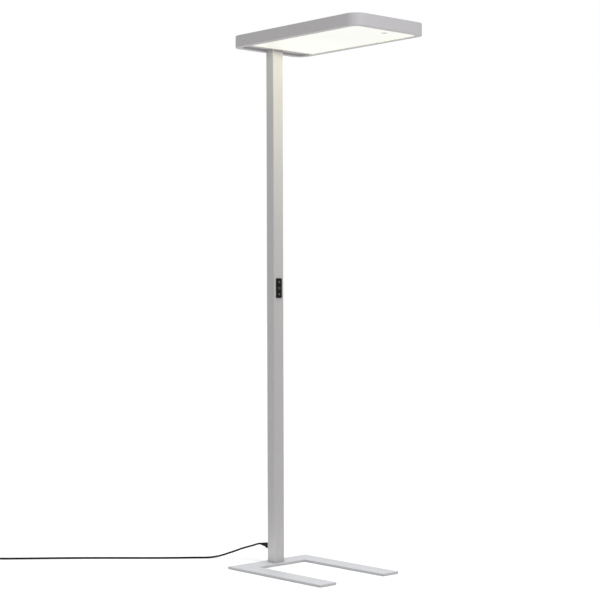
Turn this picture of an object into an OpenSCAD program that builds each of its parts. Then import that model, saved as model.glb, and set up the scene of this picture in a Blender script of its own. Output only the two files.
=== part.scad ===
// Free-standing office floor lamp: flat U-shaped base, rectangular post and a flat head
// that lights the desk below and the ceiling above.
// The origin is the floor point under the post's axis. +X runs from the post towards the
// head's free end, +Y across the head and +Z up.

/* [Lamp] */
// Height from the floor to the top of the head
lamp_h = 1950; // [1700:10:2200]

/* [Base] */
// Length of the base along the arms
base_l = 495; // [400:5:600]
// Width of the base across both arms
base_w = 385; // [320:5:460]
// Thickness of the base plate
base_t = 8; // [7:0.5:12]
// Distance from the post's axis back to the base's rear edge
base_rear = 48; // [40:1:60]
// Width of each arm
arm_w = 78; // [56:1:100]
// Width of the crossbar that carries the post
bar_w = 82; // [76:1:110]
// Radius of the base's corners
base_corner_r = 1.5; // [0.5:0.5:6]
// Diameter of the rubber foot pads
pad_d = 24; // [18:1:26]
// Thickness of the foot pads
pad_t = 3; // [2.5:0.25:4]
// Depth of the pockets that hold the pads
pad_pocket = 2; // [1:0.25:2.25]
// Distance from the base's edges to the centres of the outer pads
pad_inset = 24; // [18:1:28]

/* [Post] */
// Depth of the post, front to back
post_x = 40; // [38:1:50]
// Width of the post
post_y = 47; // [45:1:60]
// Wall of the post
post_wall = 3; // [2.5:0.25:4]
// Outer corner radius of the post
post_r = 1.5; // [0.5:0.25:2]
// Diameter of the four bolts at each end of the post
post_bolt_d = 6; // [5:0.5:6]
// Length of the four bolts at each end of the post
post_bolt_l = 24; // [20:1:40]

/* [Head] */
// Length of the head
head_l = 658; // [560:2:760]
// Width of the head
head_w = 350; // [348:2:400]
// Height of the head
head_h = 42; // [40:0.5:50]
// Corner radius of the head seen from above
head_r = 47; // [36:1:70]
// Distance from the post's rear face to the lip round the head's underside
post_to_lip = 1; // [1:0.25:3]
// Wall of the head's frame
head_wall = 3; // [2.5:0.25:4]
// Width of the lip round the underside of the frame
lip_w = 25; // [23:0.5:30]
// Thickness of that lip
lip_t = 2.4; // [2:0.1:3]
// Depth from the top of the head down to the carrier plate's underside
carrier_depth = 14; // [12:0.5:15]
// Thickness of the carrier plate
carrier_t = 2; // [1.5:0.25:3]
// Height of the rear cover's face above the head's underside
cover_recess = 7; // [5.5:0.25:8]
// Sheet thickness of the rear cover
cover_t = 1.5; // [1:0.25:2]
// Thickness of the top cover
top_t = 2; // [1.5:0.25:2.5]
// Distance from the head's free end to the window in the top cover
window_end = 80; // [50:5:160]
// Distance from the head's rear face to that window
window_rear = 120; // [90:5:200]
// Distance from the head's sides to that window
window_side = 75; // [50:5:100]
// Thickness of the steel bracket between post and carrier plate
bracket_t = 6; // [5:0.5:7]

/* [Optics] */
// Thickness of the opal diffuser
diffuser_t = 3; // [2:0.5:4]
// Thickness of the clear cover over the uplight
uplight_t = 3; // [2:0.5:4]
// Spacing of the light-emitting diodes along a strip
led_pitch = 24; // [18:1:40]
// Diameter of the sensor's rim under the diffuser
sensor_d = 28; // [24:1:32]
// Distance of the sensor from the head's free end
sensor_end = 70; // [60:1:90]
// Sideways distance of the sensor from the head's centre line
sensor_side = 32; // [0:1:60]

/* [Controls] */
// Height of the middle button above the floor
panel_z = 1028; // [900:1:1200]
// Width of the control panel
panel_w = 27; // [26:0.5:30]
// Height of the control panel
panel_h = 73; // [73:1:90]
// How far the panel stands out of the post
panel_t = 3; // [2.5:0.25:4]
// Diameter of the buttons
button_d = 13; // [10:0.5:14]
// Spacing of the buttons
button_pitch = 23; // [20:0.5:23.5]
// Travel of a button when it is pressed
button_travel = 0.8; // [0.5:0.1:1]

/* [Mains lead] */
// Height of the mains inlet above the floor
inlet_z = 67; // [64:1:70]
// Diameter of the mains lead
cord_d = 7; // [6:0.25:7.5]
// Length of the tapered strain relief
relief_l = 34; // [26:1:40]
// Turns in the coil
coil_turns = 5.25; // [3.25:2:7.25]
// Radius of the coil's innermost turn
coil_inner_r = 31; // [29:0.5:34]
// Diameter of the plug's face
plug_d = 38; // [34:1:40]

/* [Clearances] */
// Gap round pieces that drop or slide into place
fit_gap = 0.3; // [0.2:0.05:0.4]
// Gap between a screw and its hole
screw_gap = 0.1; // [0.05:0.05:0.15]

/* [Hidden] */
$fn = 64;

// Base
floor_gap = pad_t - pad_pocket;
base_top = floor_gap + base_t;
base_x0 = -base_rear;
base_x1 = base_l - base_rear;
notch_x0 = base_x0 + bar_w;
notch_y = base_w / 2 - arm_w;
rear_pad_x = base_x0 + pad_inset;
side_pad_y = base_w / 2 - pad_inset;
front_pad_x = base_x1 - pad_inset;
pad_places = [
    [0, 0],
    [rear_pad_x, side_pad_y],
    [rear_pad_x, -side_pad_y],
    [front_pad_x, base_w / 2 - arm_w / 2],
    [front_pad_x, arm_w / 2 - base_w / 2]
];

// Post
port_d = post_bolt_d + 2 * screw_gap;
port_wall = 1.6;
port_x = post_x / 2 - post_wall - port_d / 2 - port_wall;
port_y = post_y / 2 - post_wall - port_d / 2 - port_wall;
bolt_head_d = 2 * post_bolt_d;
post_inner_x = post_x / 2 - post_wall;
post_inner_y = post_y / 2 - post_wall;

// Head, from the bottom up
head_rear = post_x / 2 + post_to_lip + lip_w;
head_x0 = -head_rear;
head_x1 = head_l - head_rear;
head_z0 = lamp_h - head_h;
lip_z = head_z0 + lip_t;
carrier_z = lamp_h - carrier_depth;
carrier_top = carrier_z + carrier_t;
post_top = carrier_z - bracket_t;
top_z = lamp_h - top_t;
shelf_t = 2;
shelf_w = 15;
rib_t = 2;
rib_w = 9;
pane_inset = shelf_w + 2;
carrier_inset = rib_w + 1;
box_wall = 1.2;
box_inset = pane_inset + 1;

// Rail between the optical chamber and the rear compartment
rail_x = 35;
rail_t = 2;
rail_flange_t = 1.5;
rail_flange_rear = 3;
rail_flange_front = 4;
compartment_x1 = rail_x - rail_flange_rear;
chamber_x0 = rail_x + rail_t + fit_gap;
box_x0 = chamber_x0 + 0.7;

// Pieces under the carrier plate
bracket_x0 = head_x0 + shelf_w + 1;
bracket_x1 = rail_x - 1;
bracket_w = head_w / 2 - 15;
driver_l = 56;
driver_h = 17;
driver_foot = 6;
driver_corner_gap = 16;
driver_y0 = bracket_w / 2 + 4;
driver_y1 = head_w / 2 - shelf_w - driver_corner_gap - driver_foot;
driver_x0 = head_x0 + pane_inset;
terminal_w = 28;
terminal_l = 38;
terminal_h = 17;
terminal_y = -bracket_w / 2 - 10;
terminal_screw_d = 4.5;
wire_z = carrier_z - 13;
link_x = driver_x0 + 3.5;
link_d = 5;
lead_d = 4;
lead_z = carrier_z - 5.5;
lead_hole_d = lead_d + 2;
pcb_t = 1.6;
pcb_w = 18;
led_size = 3;
led_h = 0.7;
strip_x0 = chamber_x0 + 20;
strip_x1 = head_x1 - 40;
outer_row = head_w / 2 - 40;
down_rows = [-outer_row, -outer_row / 3, outer_row / 3, outer_row];
joint_block = 8;
sensor_body_d = sensor_d - 8;
sensor_x = head_x1 - sensor_end;
sensor_drop = 1.2;
sensor_lens_r = 0.45 * sensor_body_d;

// Window over the uplight
window_x0 = head_x0 + window_rear;
window_x1 = head_x1 - window_end;
window_w = head_w - 2 * window_side;
window_r = 20;
up_rows = [-window_w / 4, window_w / 4];
pane_overlap = 10;

// Screws in the head
carrier_screw_d = 5;
carrier_screw_x = 23;
carrier_screw_y = bracket_w / 2 - 20;
small_screw_d = 3;
small_screw_l = 5;
small_head_d = 1.8 * small_screw_d;
shelf_screw_inset = (carrier_inset + shelf_w) / 2 + 0.5;
cover_screw_inset = (head_wall + rib_w) / 2 + 0.6;
screw_mid_x = (head_x0 + head_x1) / 2;
corner_screw_run = head_r + 20;

// Controls
panel_face = post_x / 2 + panel_t;
button_face = panel_face + 0.6;
flange_d = button_d + 2.4;
flange_t = 1.2;
front_wall = 2;
shell_t = 1.2;
shell_w = panel_w - 5;
shell_h = panel_h - 5;
shell_in_w = shell_w - 2 * shell_t;
shell_in_h = shell_h - 2 * shell_t;
board_ledge = 1;
board_t = 1.6;
board_depth = 10.3;
board_x = post_x / 2 - board_depth;
switch_h = 5;
plunger_d = 3.4;
stem_d = 4;
stem_gap = button_travel + 0.3;
button_places = [panel_z + button_pitch, panel_z, panel_z - button_pitch];

// Mains inlet and connector
inlet_w = 27;
inlet_h = 19.5;
inlet_flange_t = 2;
inlet_depth = 12;
cavity_depth = 10;
inlet_wall = 1.3;
cavity_w = inlet_w - 2 * inlet_wall;
cavity_h = inlet_h - 2 * inlet_wall;
pin_w = 2;
pin_h = 4;
pin_pitch = 7;
inlet_face = -post_x / 2 - inlet_flange_t;
inlet_back = -post_x / 2 + inlet_depth;
connector_gap = 0.2;
connector_l = 26;
connector_front = inlet_face - connector_gap;
connector_back = connector_front - connector_l;
relief_end = connector_back - relief_l;

// Wiring inside the post
riser_d = 6;
riser_bend = 8;
riser_x = inlet_back + riser_bend + 2;
control_d = 3.5;
control_bend = 4;
control_y = riser_d / 2 + control_d / 2 + 3;
control_z = panel_z + 12;
wire_window_low = wire_z - 5;
wire_window_high = wire_z + 5;
wire_window_x0 = riser_x - 6.5;
wire_window_x1 = riser_x + 4.5;

// Mains lead on the floor, with its coil, tie and plug
floor_z = cord_d / 2 + 0.1;
tie_t = 1.4;
tie_w = 12;
coil_z = tie_t + cord_d / 2 + 0.2;
coil_pitch = cord_d + 0.5;
coil_at = [-798, -774];
coil_start_angle = 139;
coil_steps = 24;
coil_outer_r = coil_inner_r + coil_pitch * coil_turns / 2;
coil_dir = [-sin(coil_start_angle), cos(coil_start_angle)];
plug_angle = coil_start_angle + 360 * coil_turns + 90;
plug_dir = [cos(plug_angle), sin(plug_angle)];
plug_z = plug_d / 2 + 0.1;
tail_l = 44;
tie_angle = coil_start_angle + 45;

function on_coil(turn, r) =
    [
        coil_at[0] + r * cos(coil_start_angle + 360 * turn),
        coil_at[1] + r * sin(coil_start_angle + 360 * turn)
    ];
function ease(s) = s <= 0 ? 0 : s >= 1 ? 1 : s * s * (3 - 2 * s);
function coil_r(turn) = coil_inner_r + coil_pitch * abs(turn - coil_turns / 2);
function coil_rise(turn) = coil_pitch * ease((turn - coil_turns / 2 + 0.25) / 0.5);
function coil_point(turn) = concat(on_coil(turn, coil_r(turn)), coil_z + coil_rise(turn));
function tail_point(s, z) = concat(on_coil(coil_turns, coil_outer_r) + s * plug_dir, z);

coil_entry = on_coil(0, coil_outer_r) - cord_d * coil_dir;
coil_top_z = coil_z + coil_pitch;
turn_count = round(coil_steps * coil_turns);
coil_path = concat(
    [concat(coil_entry, coil_z)],
    [for (i = [0 : turn_count]) coil_point(coil_turns * i / turn_count)],
    [
        tail_point(10, coil_top_z),
        tail_point(19, coil_top_z + 0.3 * (plug_z - coil_top_z)),
        tail_point(27, coil_top_z + 0.75 * (plug_z - coil_top_z)),
        tail_point(tail_l - cord_d, plug_z),
        tail_point(tail_l, plug_z)
    ]
);

// The lead's route from the strain relief down to the floor and along it to the coil
cord_route = [
    [relief_end - cord_d, 0, inlet_z],
    [-99, 0, 65.5],
    [-112, -1, 61.5],
    [-130, -3, 55.5],
    [-149, -7, 49.5],
    [-166, -12, 44],
    [-182, -19, 38],
    [-197, -26, 31.5],
    [-211, -34, 25.5],
    [-224, -43, 20],
    [-236, -53, 14.5],
    [-247, -64, 10],
    [-258, -75, 6.5],
    [-267, -87, 4.5],
    [-275, -100, floor_z],
    [-284, -113, floor_z],
    [-304, -135, floor_z],
    [-323, -159, floor_z],
    [-342, -183, floor_z],
    [-362, -206, floor_z],
    [-402, -252, floor_z],
    [-444, -297, floor_z],
    [-487, -342, floor_z],
    [-531, -388, floor_z],
    [-574, -434, floor_z],
    [-617, -482, floor_z],
    [-659, -531, floor_z],
    [-700, -581, floor_z],
    [-741, -630, floor_z],
    [-780, -676, floor_z],
    concat(coil_entry - 2 * cord_d * coil_dir, coil_z),
    concat(coil_entry - cord_d * coil_dir, coil_z)
];

function unit(v) = v / norm(v);
function run_dir(p, i) = unit(p[i + 1] - p[i]);
function ring_dir(p, i) =
    i == 0 ? run_dir(p, 0) :
    i == len(p) - 1 ? run_dir(p, i - 1) :
    unit(run_dir(p, i) + run_dir(p, i - 1));
// Side vectors carried from ring to ring without twist
function carried(p, side, i, done) =
    i == len(p) ? done :
    let (t = ring_dir(p, i), s = unit(side - (side * t) * t))
    carried(p, s, i + 1, concat(done, [s]));
function between(a, b, c, d, s) =
    b + 0.5 * (c - a) * s + 0.5 * (2 * a - 5 * b + 4 * c - d) * s ^ 2 + 0.5 * (3 * b - a - 3 * c + d) * s ^ 3;
// Smooth curve through the points, with n steps from each to the next
function smooth(p, n) =
    concat(
        [
            for (i = [0 : len(p) - 2], k = [0 : n - 1])
            between(p[max(i - 1, 0)], p[i], p[i + 1], p[min(i + 2, len(p) - 1)], k / n)
        ],
        [p[len(p) - 1]]
    );
// Quarter bend of radius r that starts at p along a and turns towards b
function bend(p, a, b, r, n) =
    [for (k = [0 : n]) p + r * (sin(90 * k / n) * a + (1 - cos(90 * k / n)) * b)];
function path_length(p, i = 1) = i >= len(p) ? 0 : norm(p[i] - p[i - 1]) + path_length(p, i + 1);
// Least distance from point i to the turns at least half a loop further on
function clear_from(p, i) = min([for (j = [i + coil_steps / 2 : len(p) - 1]) norm(p[i] - p[j])]);

cord_curve = concat([[relief_end, 0, inlet_z]], smooth(cord_route, 2), [concat(coil_entry, coil_z)]);
least_gap = min([for (i = [0 : len(coil_path) - coil_steps / 2 - 1]) clear_from(coil_path, i)]) - cord_d;
echo(str("Least gap between the coil's turns: ", least_gap, " mm"));
echo(str("Length of the mains lead: ", path_length(cord_curve) + path_length(coil_path), " mm"));

// Shared shapes

// Rectangle with round corners, from its low corner to its high corner
module round_rect(x0, x1, y0, y1, r) {
    translate([x0 + r, y0]) square([x1 - x0 - 2 * r, y1 - y0]);
    translate([x0, y0 + r]) square([x1 - x0, y1 - y0 - 2 * r]);
    for (x = [x0 + r, x1 - r], y = [y0 + r, y1 - r])
        translate([x, y]) circle(r);
}

// Flat piece with round corners between two heights
module slab(x0, x1, y0, y1, z0, z1, r) {
    translate([0, 0, z0]) linear_extrude(z1 - z0) round_rect(x0, x1, y0, y1, r);
}

// Block between two corners
module block(low, high) {
    translate(low) cube(high - low);
}

// Block with round edges along X, centred on the X axis at height z
module x_bar(x0, x1, w, h, r, z) {
    translate([x0, 0, z]) rotate([90, 0, 90])
        linear_extrude(x1 - x0) round_rect(-w / 2, w / 2, -h / 2, h / 2, r);
}

// Round rod along the X axis
module x_rod(x0, x1, d) {
    translate([x0, 0, 0]) rotate([0, 90, 0]) cylinder(d = d, h = x1 - x0);
}

// The head's outline, drawn in from its edge
module head_outline(inset) {
    round_rect(head_x0 + inset, head_x1 - inset, inset - head_w / 2, head_w / 2 - inset, head_r - inset);
}

module head_cut(inset, z0, z1) {
    translate([0, 0, z0]) linear_extrude(z1 - z0) head_outline(inset);
}

// Part of the head's outline between two distances along the head
module head_part(inset, x0, x1) {
    intersection() {
        head_outline(inset);
        translate([x0, -head_w]) square([x1 - x0, 2 * head_w]);
    }
}

// Places of the four bolts at an end of the post
module at_ports() {
    for (x = [-port_x, port_x], y = [-port_y, port_y])
        translate([x, y, 0]) children();
}

// Countersunk screw with its flat face at z = 0 and its point down, and a hexagon socket
module sunk_screw(d, head_d, length) {
    difference() {
        union() {
            translate([0, 0, -(head_d - d) / 2]) cylinder(d1 = d, d2 = head_d, h = (head_d - d) / 2);
            translate([0, 0, -length]) cylinder(d = d, h = length);
        }
        translate([0, 0, -d / 3]) cylinder(d = 0.6 * d, h = d, $fn = 6);
    }
}

// Hole for that screw, open a little past its face
module sunk_hole(d, head_d, depth) {
    cut_d = head_d + 2 * screw_gap;
    bore_d = d + 2 * screw_gap;
    translate([0, 0, -(cut_d - bore_d) / 2]) cylinder(d1 = bore_d, d2 = cut_d, h = (cut_d - bore_d) / 2);
    translate([0, 0, -0.01]) cylinder(d = cut_d, h = 1);
    translate([0, 0, -depth]) cylinder(d = bore_d, h = depth);
}

// Round-headed screw with the underside of its head at z = 0
module pan_screw(d, length) {
    difference() {
        union() {
            cylinder(d = 1.8 * d, h = 0.6 * d);
            translate([0, 0, -length]) cylinder(d = d, h = length);
        }
        translate([0, 0, 0.25 * d]) cylinder(d = 0.8 * d, h = d, $fn = 6);
    }
}

// Round tube with n sides along a path; the side vector sets how the sides are turned
module tube(path, d, n, side) {
    sides = carried(path, side, 0, []);
    last = len(path) - 1;
    points = [
        for (i = [0 : last], k = [0 : n - 1])
        let (a = 360 * (k + 0.5) / n, up = sides[i], across = cross(ring_dir(path, i), up))
        path[i] + d / 2 * (cos(a) * up + sin(a) * across)
    ];
    walls = [
        for (i = [0 : last - 1], k = [0 : n - 1], half = [0, 1])
        let (j = (k + 1) % n, a = i * n)
        half == 0 ? [a + k, a + n + k, a + j] : [a + j, a + n + k, a + n + j]
    ];
    start_cap = [for (k = [1 : n - 2]) [0, k, k + 1]];
    end_cap = [for (k = [1 : n - 2]) [last * n, last * n + k + 1, last * n + k]];
    polyhedron(points = points, faces = concat(walls, start_cap, end_cap), convexity = 10);
}

// Base

module base_plate() {
    color([0.83, 0.83, 0.84])
    difference() {
        slab(base_x0, base_x1, -base_w / 2, base_w / 2, floor_gap, base_top, base_corner_r);
        slab(notch_x0, base_x1 + 20, -notch_y, notch_y, floor_gap - 1, base_top + 1, base_corner_r);
        for (p = pad_places)
            translate([p[0], p[1], floor_gap - 1]) cylinder(d = pad_d + screw_gap, h = pad_pocket + 1);
        translate([0, 0, floor_gap]) mirror([0, 0, 1])
            at_ports() sunk_hole(post_bolt_d, bolt_head_d, base_t + 1);
    }
}

module foot_pads() {
    color([0.12, 0.12, 0.12])
    for (p = pad_places)
        translate([p[0], p[1], 0]) cylinder(d = pad_d, h = pad_t);
}

module base_screws() {
    color([0.6, 0.6, 0.62])
    translate([0, 0, floor_gap]) mirror([0, 0, 1])
        at_ports() sunk_screw(post_bolt_d, bolt_head_d, post_bolt_l);
}

// Post

// Section of the post: a rectangular tube with a bolt port in each corner
module post_section() {
    difference() {
        union() {
            difference() {
                round_rect(-post_x / 2, post_x / 2, -post_y / 2, post_y / 2, post_r);
                square([2 * post_inner_x, 2 * post_inner_y], center = true);
            }
            for (x = [-1, 1], y = [-1, 1])
                translate([x * port_x, y * port_y]) scale([x, y]) {
                    circle(d = port_d + 2 * port_wall);
                    square([post_inner_x - port_x + 1, post_inner_y - port_y + 1]);
                }
        }
        for (x = [-port_x, port_x], y = [-port_y, port_y])
            translate([x, y]) circle(d = port_d);
    }
}

module post_tube() {
    color([0.74, 0.74, 0.74])
    difference() {
        translate([0, 0, base_top]) linear_extrude(post_top - base_top) post_section();
        // Mains inlet
        x_bar(-post_x / 2 - 1, inlet_back + 1, inlet_w + fit_gap, inlet_h + fit_gap, 1, inlet_z);
        // Control panel
        block(
            [board_x - 1, -shell_w / 2 - fit_gap / 2, panel_z - shell_h / 2 - fit_gap / 2],
            [post_x / 2 + 1, shell_w / 2 + fit_gap / 2, panel_z + shell_h / 2 + fit_gap / 2]
        );
        // Cable windows inside the head, one in each side
        block([wire_window_x0, -post_y, wire_window_low], [wire_window_x1, post_y, wire_window_high]);
    }
}

// Mains inlet and lead

module power_inlet() {
    color([0.08, 0.08, 0.08]) {
        difference() {
            union() {
                x_bar(inlet_face, -post_x / 2, inlet_w + 6, inlet_h + 6, 2, inlet_z);
                x_bar(-post_x / 2, inlet_back, inlet_w, inlet_h, 1, inlet_z);
            }
            x_bar(inlet_face - 1, inlet_face + cavity_depth, cavity_w, cavity_h, 1, inlet_z);
        }
        for (y = [-pin_pitch, 0, pin_pitch])
            block(
                [inlet_face + 1, y - pin_w / 2, inlet_z - pin_h / 2],
                [inlet_face + cavity_depth + 1, y + pin_w / 2, inlet_z + pin_h / 2]
            );
    }
}

module lead_connector() {
    nose_end = inlet_face + cavity_depth - 1;
    nose_w = cavity_w - 2 * fit_gap;
    nose_h = cavity_h - 2 * fit_gap;
    color([0.07, 0.07, 0.07])
    difference() {
        union() {
            x_bar(connector_back, connector_front, inlet_w, inlet_h, 4, inlet_z);
            x_bar(connector_front - 1, nose_end, nose_w, nose_h, 0.8, inlet_z);
        }
        for (y = [-pin_pitch, 0, pin_pitch])
            block(
                [inlet_face + 0.5, y - pin_w / 2 - fit_gap, inlet_z - pin_h / 2 - fit_gap],
                [inlet_face + cavity_depth, y + pin_w / 2 + fit_gap, inlet_z + pin_h / 2 + fit_gap]
            );
        // Finger grooves down both sides
        for (side = [-1, 1], i = [0 : 3])
            translate([connector_back + 6 + 4 * i, side * (inlet_w / 2 + 0.6), inlet_z])
                cylinder(r = 1.2, h = inlet_h - 9, center = true, $fn = 24);
    }
}

// Tapered sleeve that keeps the lead from kinking, with grooves that let it bend
module strain_relief() {
    root_r = inlet_h / 2 - 0.3;
    tip_r = cord_d / 2 + 1;
    grooves = 5;
    step = relief_l / (grooves + 1);
    color([0.07, 0.07, 0.07])
    translate([connector_back, 0, inlet_z]) rotate([0, -90, 0])
    difference() {
        cylinder(r1 = root_r, r2 = tip_r, h = relief_l);
        for (i = [1 : grooves])
            let (r = root_r + (tip_r - root_r) * i / (grooves + 1))
            translate([0, 0, i * step - 0.8])
            difference() {
                cylinder(r = r + 3, h = 1.6);
                translate([0, 0, -1]) cylinder(r = r - 1.1, h = 4);
            }
    }
}

module mains_cord() {
    color([0.06, 0.06, 0.06]) tube(cord_curve, cord_d, 8, [0, 0, 1]);
}

module cord_coil() {
    color([0.06, 0.06, 0.06]) tube(coil_path, cord_d, 6, [0, 0, 1]);
}

// Hook-and-loop strap closed round the coil's turns
module cord_tie() {
    in_r = coil_r(coil_turns / 2 - 0.5) - cord_d / 2 - 1.2;
    out_r = coil_outer_r + cord_d / 2 + 0.2;
    low = coil_z - cord_d / 2 - 0.1;
    high = coil_top_z + cord_d / 2 + 0.3;
    color([0.1, 0.1, 0.1])
    translate([coil_at[0], coil_at[1], 0]) rotate([0, 0, tie_angle])
    translate([0, tie_w / 2, 0]) rotate([90, 0, 0])
    linear_extrude(tie_w)
    difference() {
        round_rect(in_r - tie_t, out_r + tie_t, low - tie_t, high + tie_t, 3);
        round_rect(in_r, out_r, low, high, 1.6);
    }
}

// Places the plug with its cord entry at the end of the lead, lying on its side
module at_plug() {
    end = tail_point(tail_l, plug_z);
    translate(end) rotate([0, 0, plug_angle]) rotate([0, 90, 0]) children();
}

module mains_plug() {
    plug_relief_l = 18;
    shoulder_l = 9;
    body_l = 20;
    color([0.07, 0.07, 0.07])
    at_plug()
    difference() {
        union() {
            cylinder(d1 = cord_d + 2, d2 = cord_d + 6, h = plug_relief_l);
            translate([0, 0, plug_relief_l]) cylinder(d1 = 0.55 * plug_d, d2 = plug_d, h = shoulder_l);
            translate([0, 0, plug_relief_l + shoulder_l]) cylinder(d = plug_d, h = body_l);
        }
        // Side channels that take the earth springs
        for (side = [-1, 1])
            block(
                [side * plug_d / 2 - 2.5, -4, plug_relief_l + shoulder_l + 4],
                [side * plug_d / 2 + 2.5, 4, plug_relief_l + shoulder_l + body_l + 1]
            );
    }
}

module plug_pins() {
    color([0.75, 0.72, 0.6])
    at_plug()
    for (y = [-9.5, 9.5])
        translate([0, y, 47]) {
            cylinder(d = 4.8, h = 17);
            translate([0, 0, 17]) cylinder(d1 = 4.8, d2 = 3, h = 2);
        }
}

// Mains cable from the inlet up the post to the terminal block
module riser_cable() {
    start = [inlet_back, 0, inlet_z];
    end = [riser_x, terminal_y, wire_z];
    foot = bend([riser_x - riser_bend, 0, inlet_z], [1, 0, 0], [0, 0, 1], riser_bend, 6);
    top = bend([riser_x, 0, wire_z - riser_bend], [0, 0, 1], [0, -1, 0], riser_bend, 6);
    color([0.85, 0.85, 0.85]) tube(concat([start], foot, top, [end]), riser_d, 10, [0, 1, 0]);
}

// Signal cable from the control board up the post to the driver
module control_cable() {
    start = [board_x, control_y, control_z];
    end = [riser_x, driver_y0, wire_z];
    foot = bend([riser_x + control_bend, control_y, control_z], [-1, 0, 0], [0, 0, 1], control_bend, 5);
    top = bend([riser_x, control_y, wire_z - 2 * control_bend], [0, 0, 1], [0, 1, 0], 2 * control_bend, 5);
    color([0.3, 0.3, 0.32]) tube(concat([start], foot, top, [end]), control_d, 8, [0, 1, 0]);
}

// Controls

module control_bezel() {
    color([0.03, 0.03, 0.03])
    difference() {
        union() {
            translate([0, 0, panel_z]) x_bar(post_x / 2, panel_face, panel_w, panel_h, 2.5, 0);
            x_bar(board_x - 0.4, post_x / 2 + 1, shell_w, shell_h, 1, panel_z);
        }
        // Hollow for the board and the switches, with a ledge at each end that the board seats on
        x_bar(board_x - 1, board_x + board_t, shell_in_w, shell_in_h, 0.5, panel_z);
        x_bar(board_x, panel_face - front_wall, shell_in_w, shell_in_h - 2 * board_ledge, 0.5, panel_z);
        for (z = button_places)
            translate([post_x / 2, 0, z]) rotate([0, 90, 0])
                cylinder(d = button_d + 2 * fit_gap, h = panel_t + 1);
    }
}

// Circuit board with a key switch behind each button
module control_board() {
    color([0.1, 0.35, 0.15])
    x_bar(board_x, board_x + board_t, shell_in_w - fit_gap, shell_in_h - fit_gap, 0.4, panel_z);
    color([0.2, 0.2, 0.22])
    for (z = button_places) {
        block([board_x + board_t, -3, z - 3], [board_x + board_t + switch_h - 1.5, 3, z + 3]);
        translate([0, 0, z]) x_rod(board_x + board_t, board_x + board_t + switch_h, plunger_d);
    }
}

// Button cap with a shallow dished face, a retaining flange and a stem; the mark stands on the face
module button(z) {
    flange_x = panel_face - front_wall - 0.2;
    stem_x = board_x + board_t + switch_h + stem_gap;
    dish_r = 3 * button_d;
    color([0.32, 0.32, 0.34])
    translate([0, 0, z]) {
        difference() {
            union() {
                x_rod(flange_x - flange_t, flange_x, flange_d);
                x_rod(flange_x - flange_t, button_face, button_d);
                x_rod(stem_x, flange_x, stem_d);
            }
            translate([button_face + dish_r - 0.5, 0, 0]) sphere(dish_r, $fn = 96);
        }
        translate([button_face - 0.6, 0, 0]) children();
    }
}

// Flat arrow head on a button; up is 1 for up and -1 for down
module arrow_mark(up) {
    rotate([90, 0, 90]) linear_extrude(0.5) polygon([[-3, -1.6 * up], [3, -1.6 * up], [0, 2.4 * up]]);
}

module button_brighter() {
    button(button_places[0]) arrow_mark(1);
}

module button_power() {
    button(button_places[1])
    rotate([90, 0, 90]) linear_extrude(0.5)
    difference() {
        circle(2.8);
        circle(1.8);
    }
}

module button_dimmer() {
    button(button_places[2]) arrow_mark(-1);
}

// Head

// Steel plate bolted to the post's end, which carries the head
module head_bracket() {
    color([0.55, 0.56, 0.58])
    difference() {
        slab(bracket_x0, bracket_x1, -bracket_w / 2, bracket_w / 2, post_top, carrier_z, 3);
        translate([0, 0, carrier_z]) at_ports() sunk_hole(post_bolt_d, bolt_head_d, bracket_t + 1);
        for (x = [-1, 1], y = [-1, 1])
            translate([x * carrier_screw_x, y * carrier_screw_y, post_top - 1])
                cylinder(d = carrier_screw_d + screw_gap, h = bracket_t + 2);
    }
}

module bracket_bolts() {
    color([0.6, 0.6, 0.62])
    translate([0, 0, carrier_z]) at_ports() sunk_screw(post_bolt_d, bolt_head_d, post_bolt_l);
}

// Places of the small screws: along both sides of the head and across its ends
module round_head(inset) {
    for (x = [head_x0 + corner_screw_run, screw_mid_x, head_x1 - corner_screw_run], y = [-1, 1])
        translate([x, y * (head_w / 2 - inset), 0]) children();
    for (x = [head_x0 + inset, head_x1 - inset], y = [-1, 1])
        translate([x, y * head_w / 4, 0]) children();
}

// Frame of the head: an outer wall, a lip under the diffuser, a shelf for the carrier plate
// and a rib under the top cover
module head_frame() {
    color([0.66, 0.66, 0.67])
    difference() {
        head_cut(0, head_z0, lamp_h);
        head_cut(lip_w, head_z0 - 1, lamp_h + 1);
        head_cut(shelf_w, lip_z, lamp_h + 1);
        head_cut(rib_w, carrier_z, lamp_h + 1);
        head_cut(head_wall, lip_z, carrier_z - shelf_t);
        head_cut(head_wall, carrier_z, top_z - rib_t);
        head_cut(head_wall, top_z, lamp_h + 1);
        translate([0, 0, carrier_z - shelf_t - 1])
            round_head(shelf_screw_inset) cylinder(d = small_screw_d + screw_gap, h = shelf_t + 2);
        translate([0, 0, top_z - rib_t - 1])
            round_head(cover_screw_inset) cylinder(d = small_screw_d + screw_gap, h = rib_t + 2);
    }
}

// Upright rail across the head; the diffuser and the rear cover rest on its foot
module divider_rail() {
    upright_y = head_w / 2 - shelf_w - fit_gap;
    end_y = head_w / 2 - head_wall - fit_gap;
    foot_y = head_w / 2 - lip_w - fit_gap;
    color([0.7, 0.7, 0.7])
    difference() {
        union() {
            block([rail_x, -upright_y, lip_z], [rail_x + rail_t, upright_y, carrier_z]);
            block([rail_x, -end_y, lip_z], [rail_x + rail_t, end_y, carrier_z - shelf_t]);
            block(
                [rail_x - rail_flange_rear, -foot_y, lip_z - rail_flange_t],
                [rail_x + rail_t + rail_flange_front, foot_y, lip_z]
            );
        }
        translate([0, outer_row, lead_z]) x_rod(rail_x - 1, rail_x + rail_t + 1, lead_hole_d);
    }
}

module diffuser() {
    color([0.98, 0.98, 0.96])
    difference() {
        translate([0, 0, lip_z]) linear_extrude(diffuser_t) head_part(pane_inset, chamber_x0, head_x1);
        translate([sensor_x, sensor_side, lip_z - 1])
            cylinder(d = sensor_body_d + 2 * fit_gap, h = diffuser_t + 2);
    }
}

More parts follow.
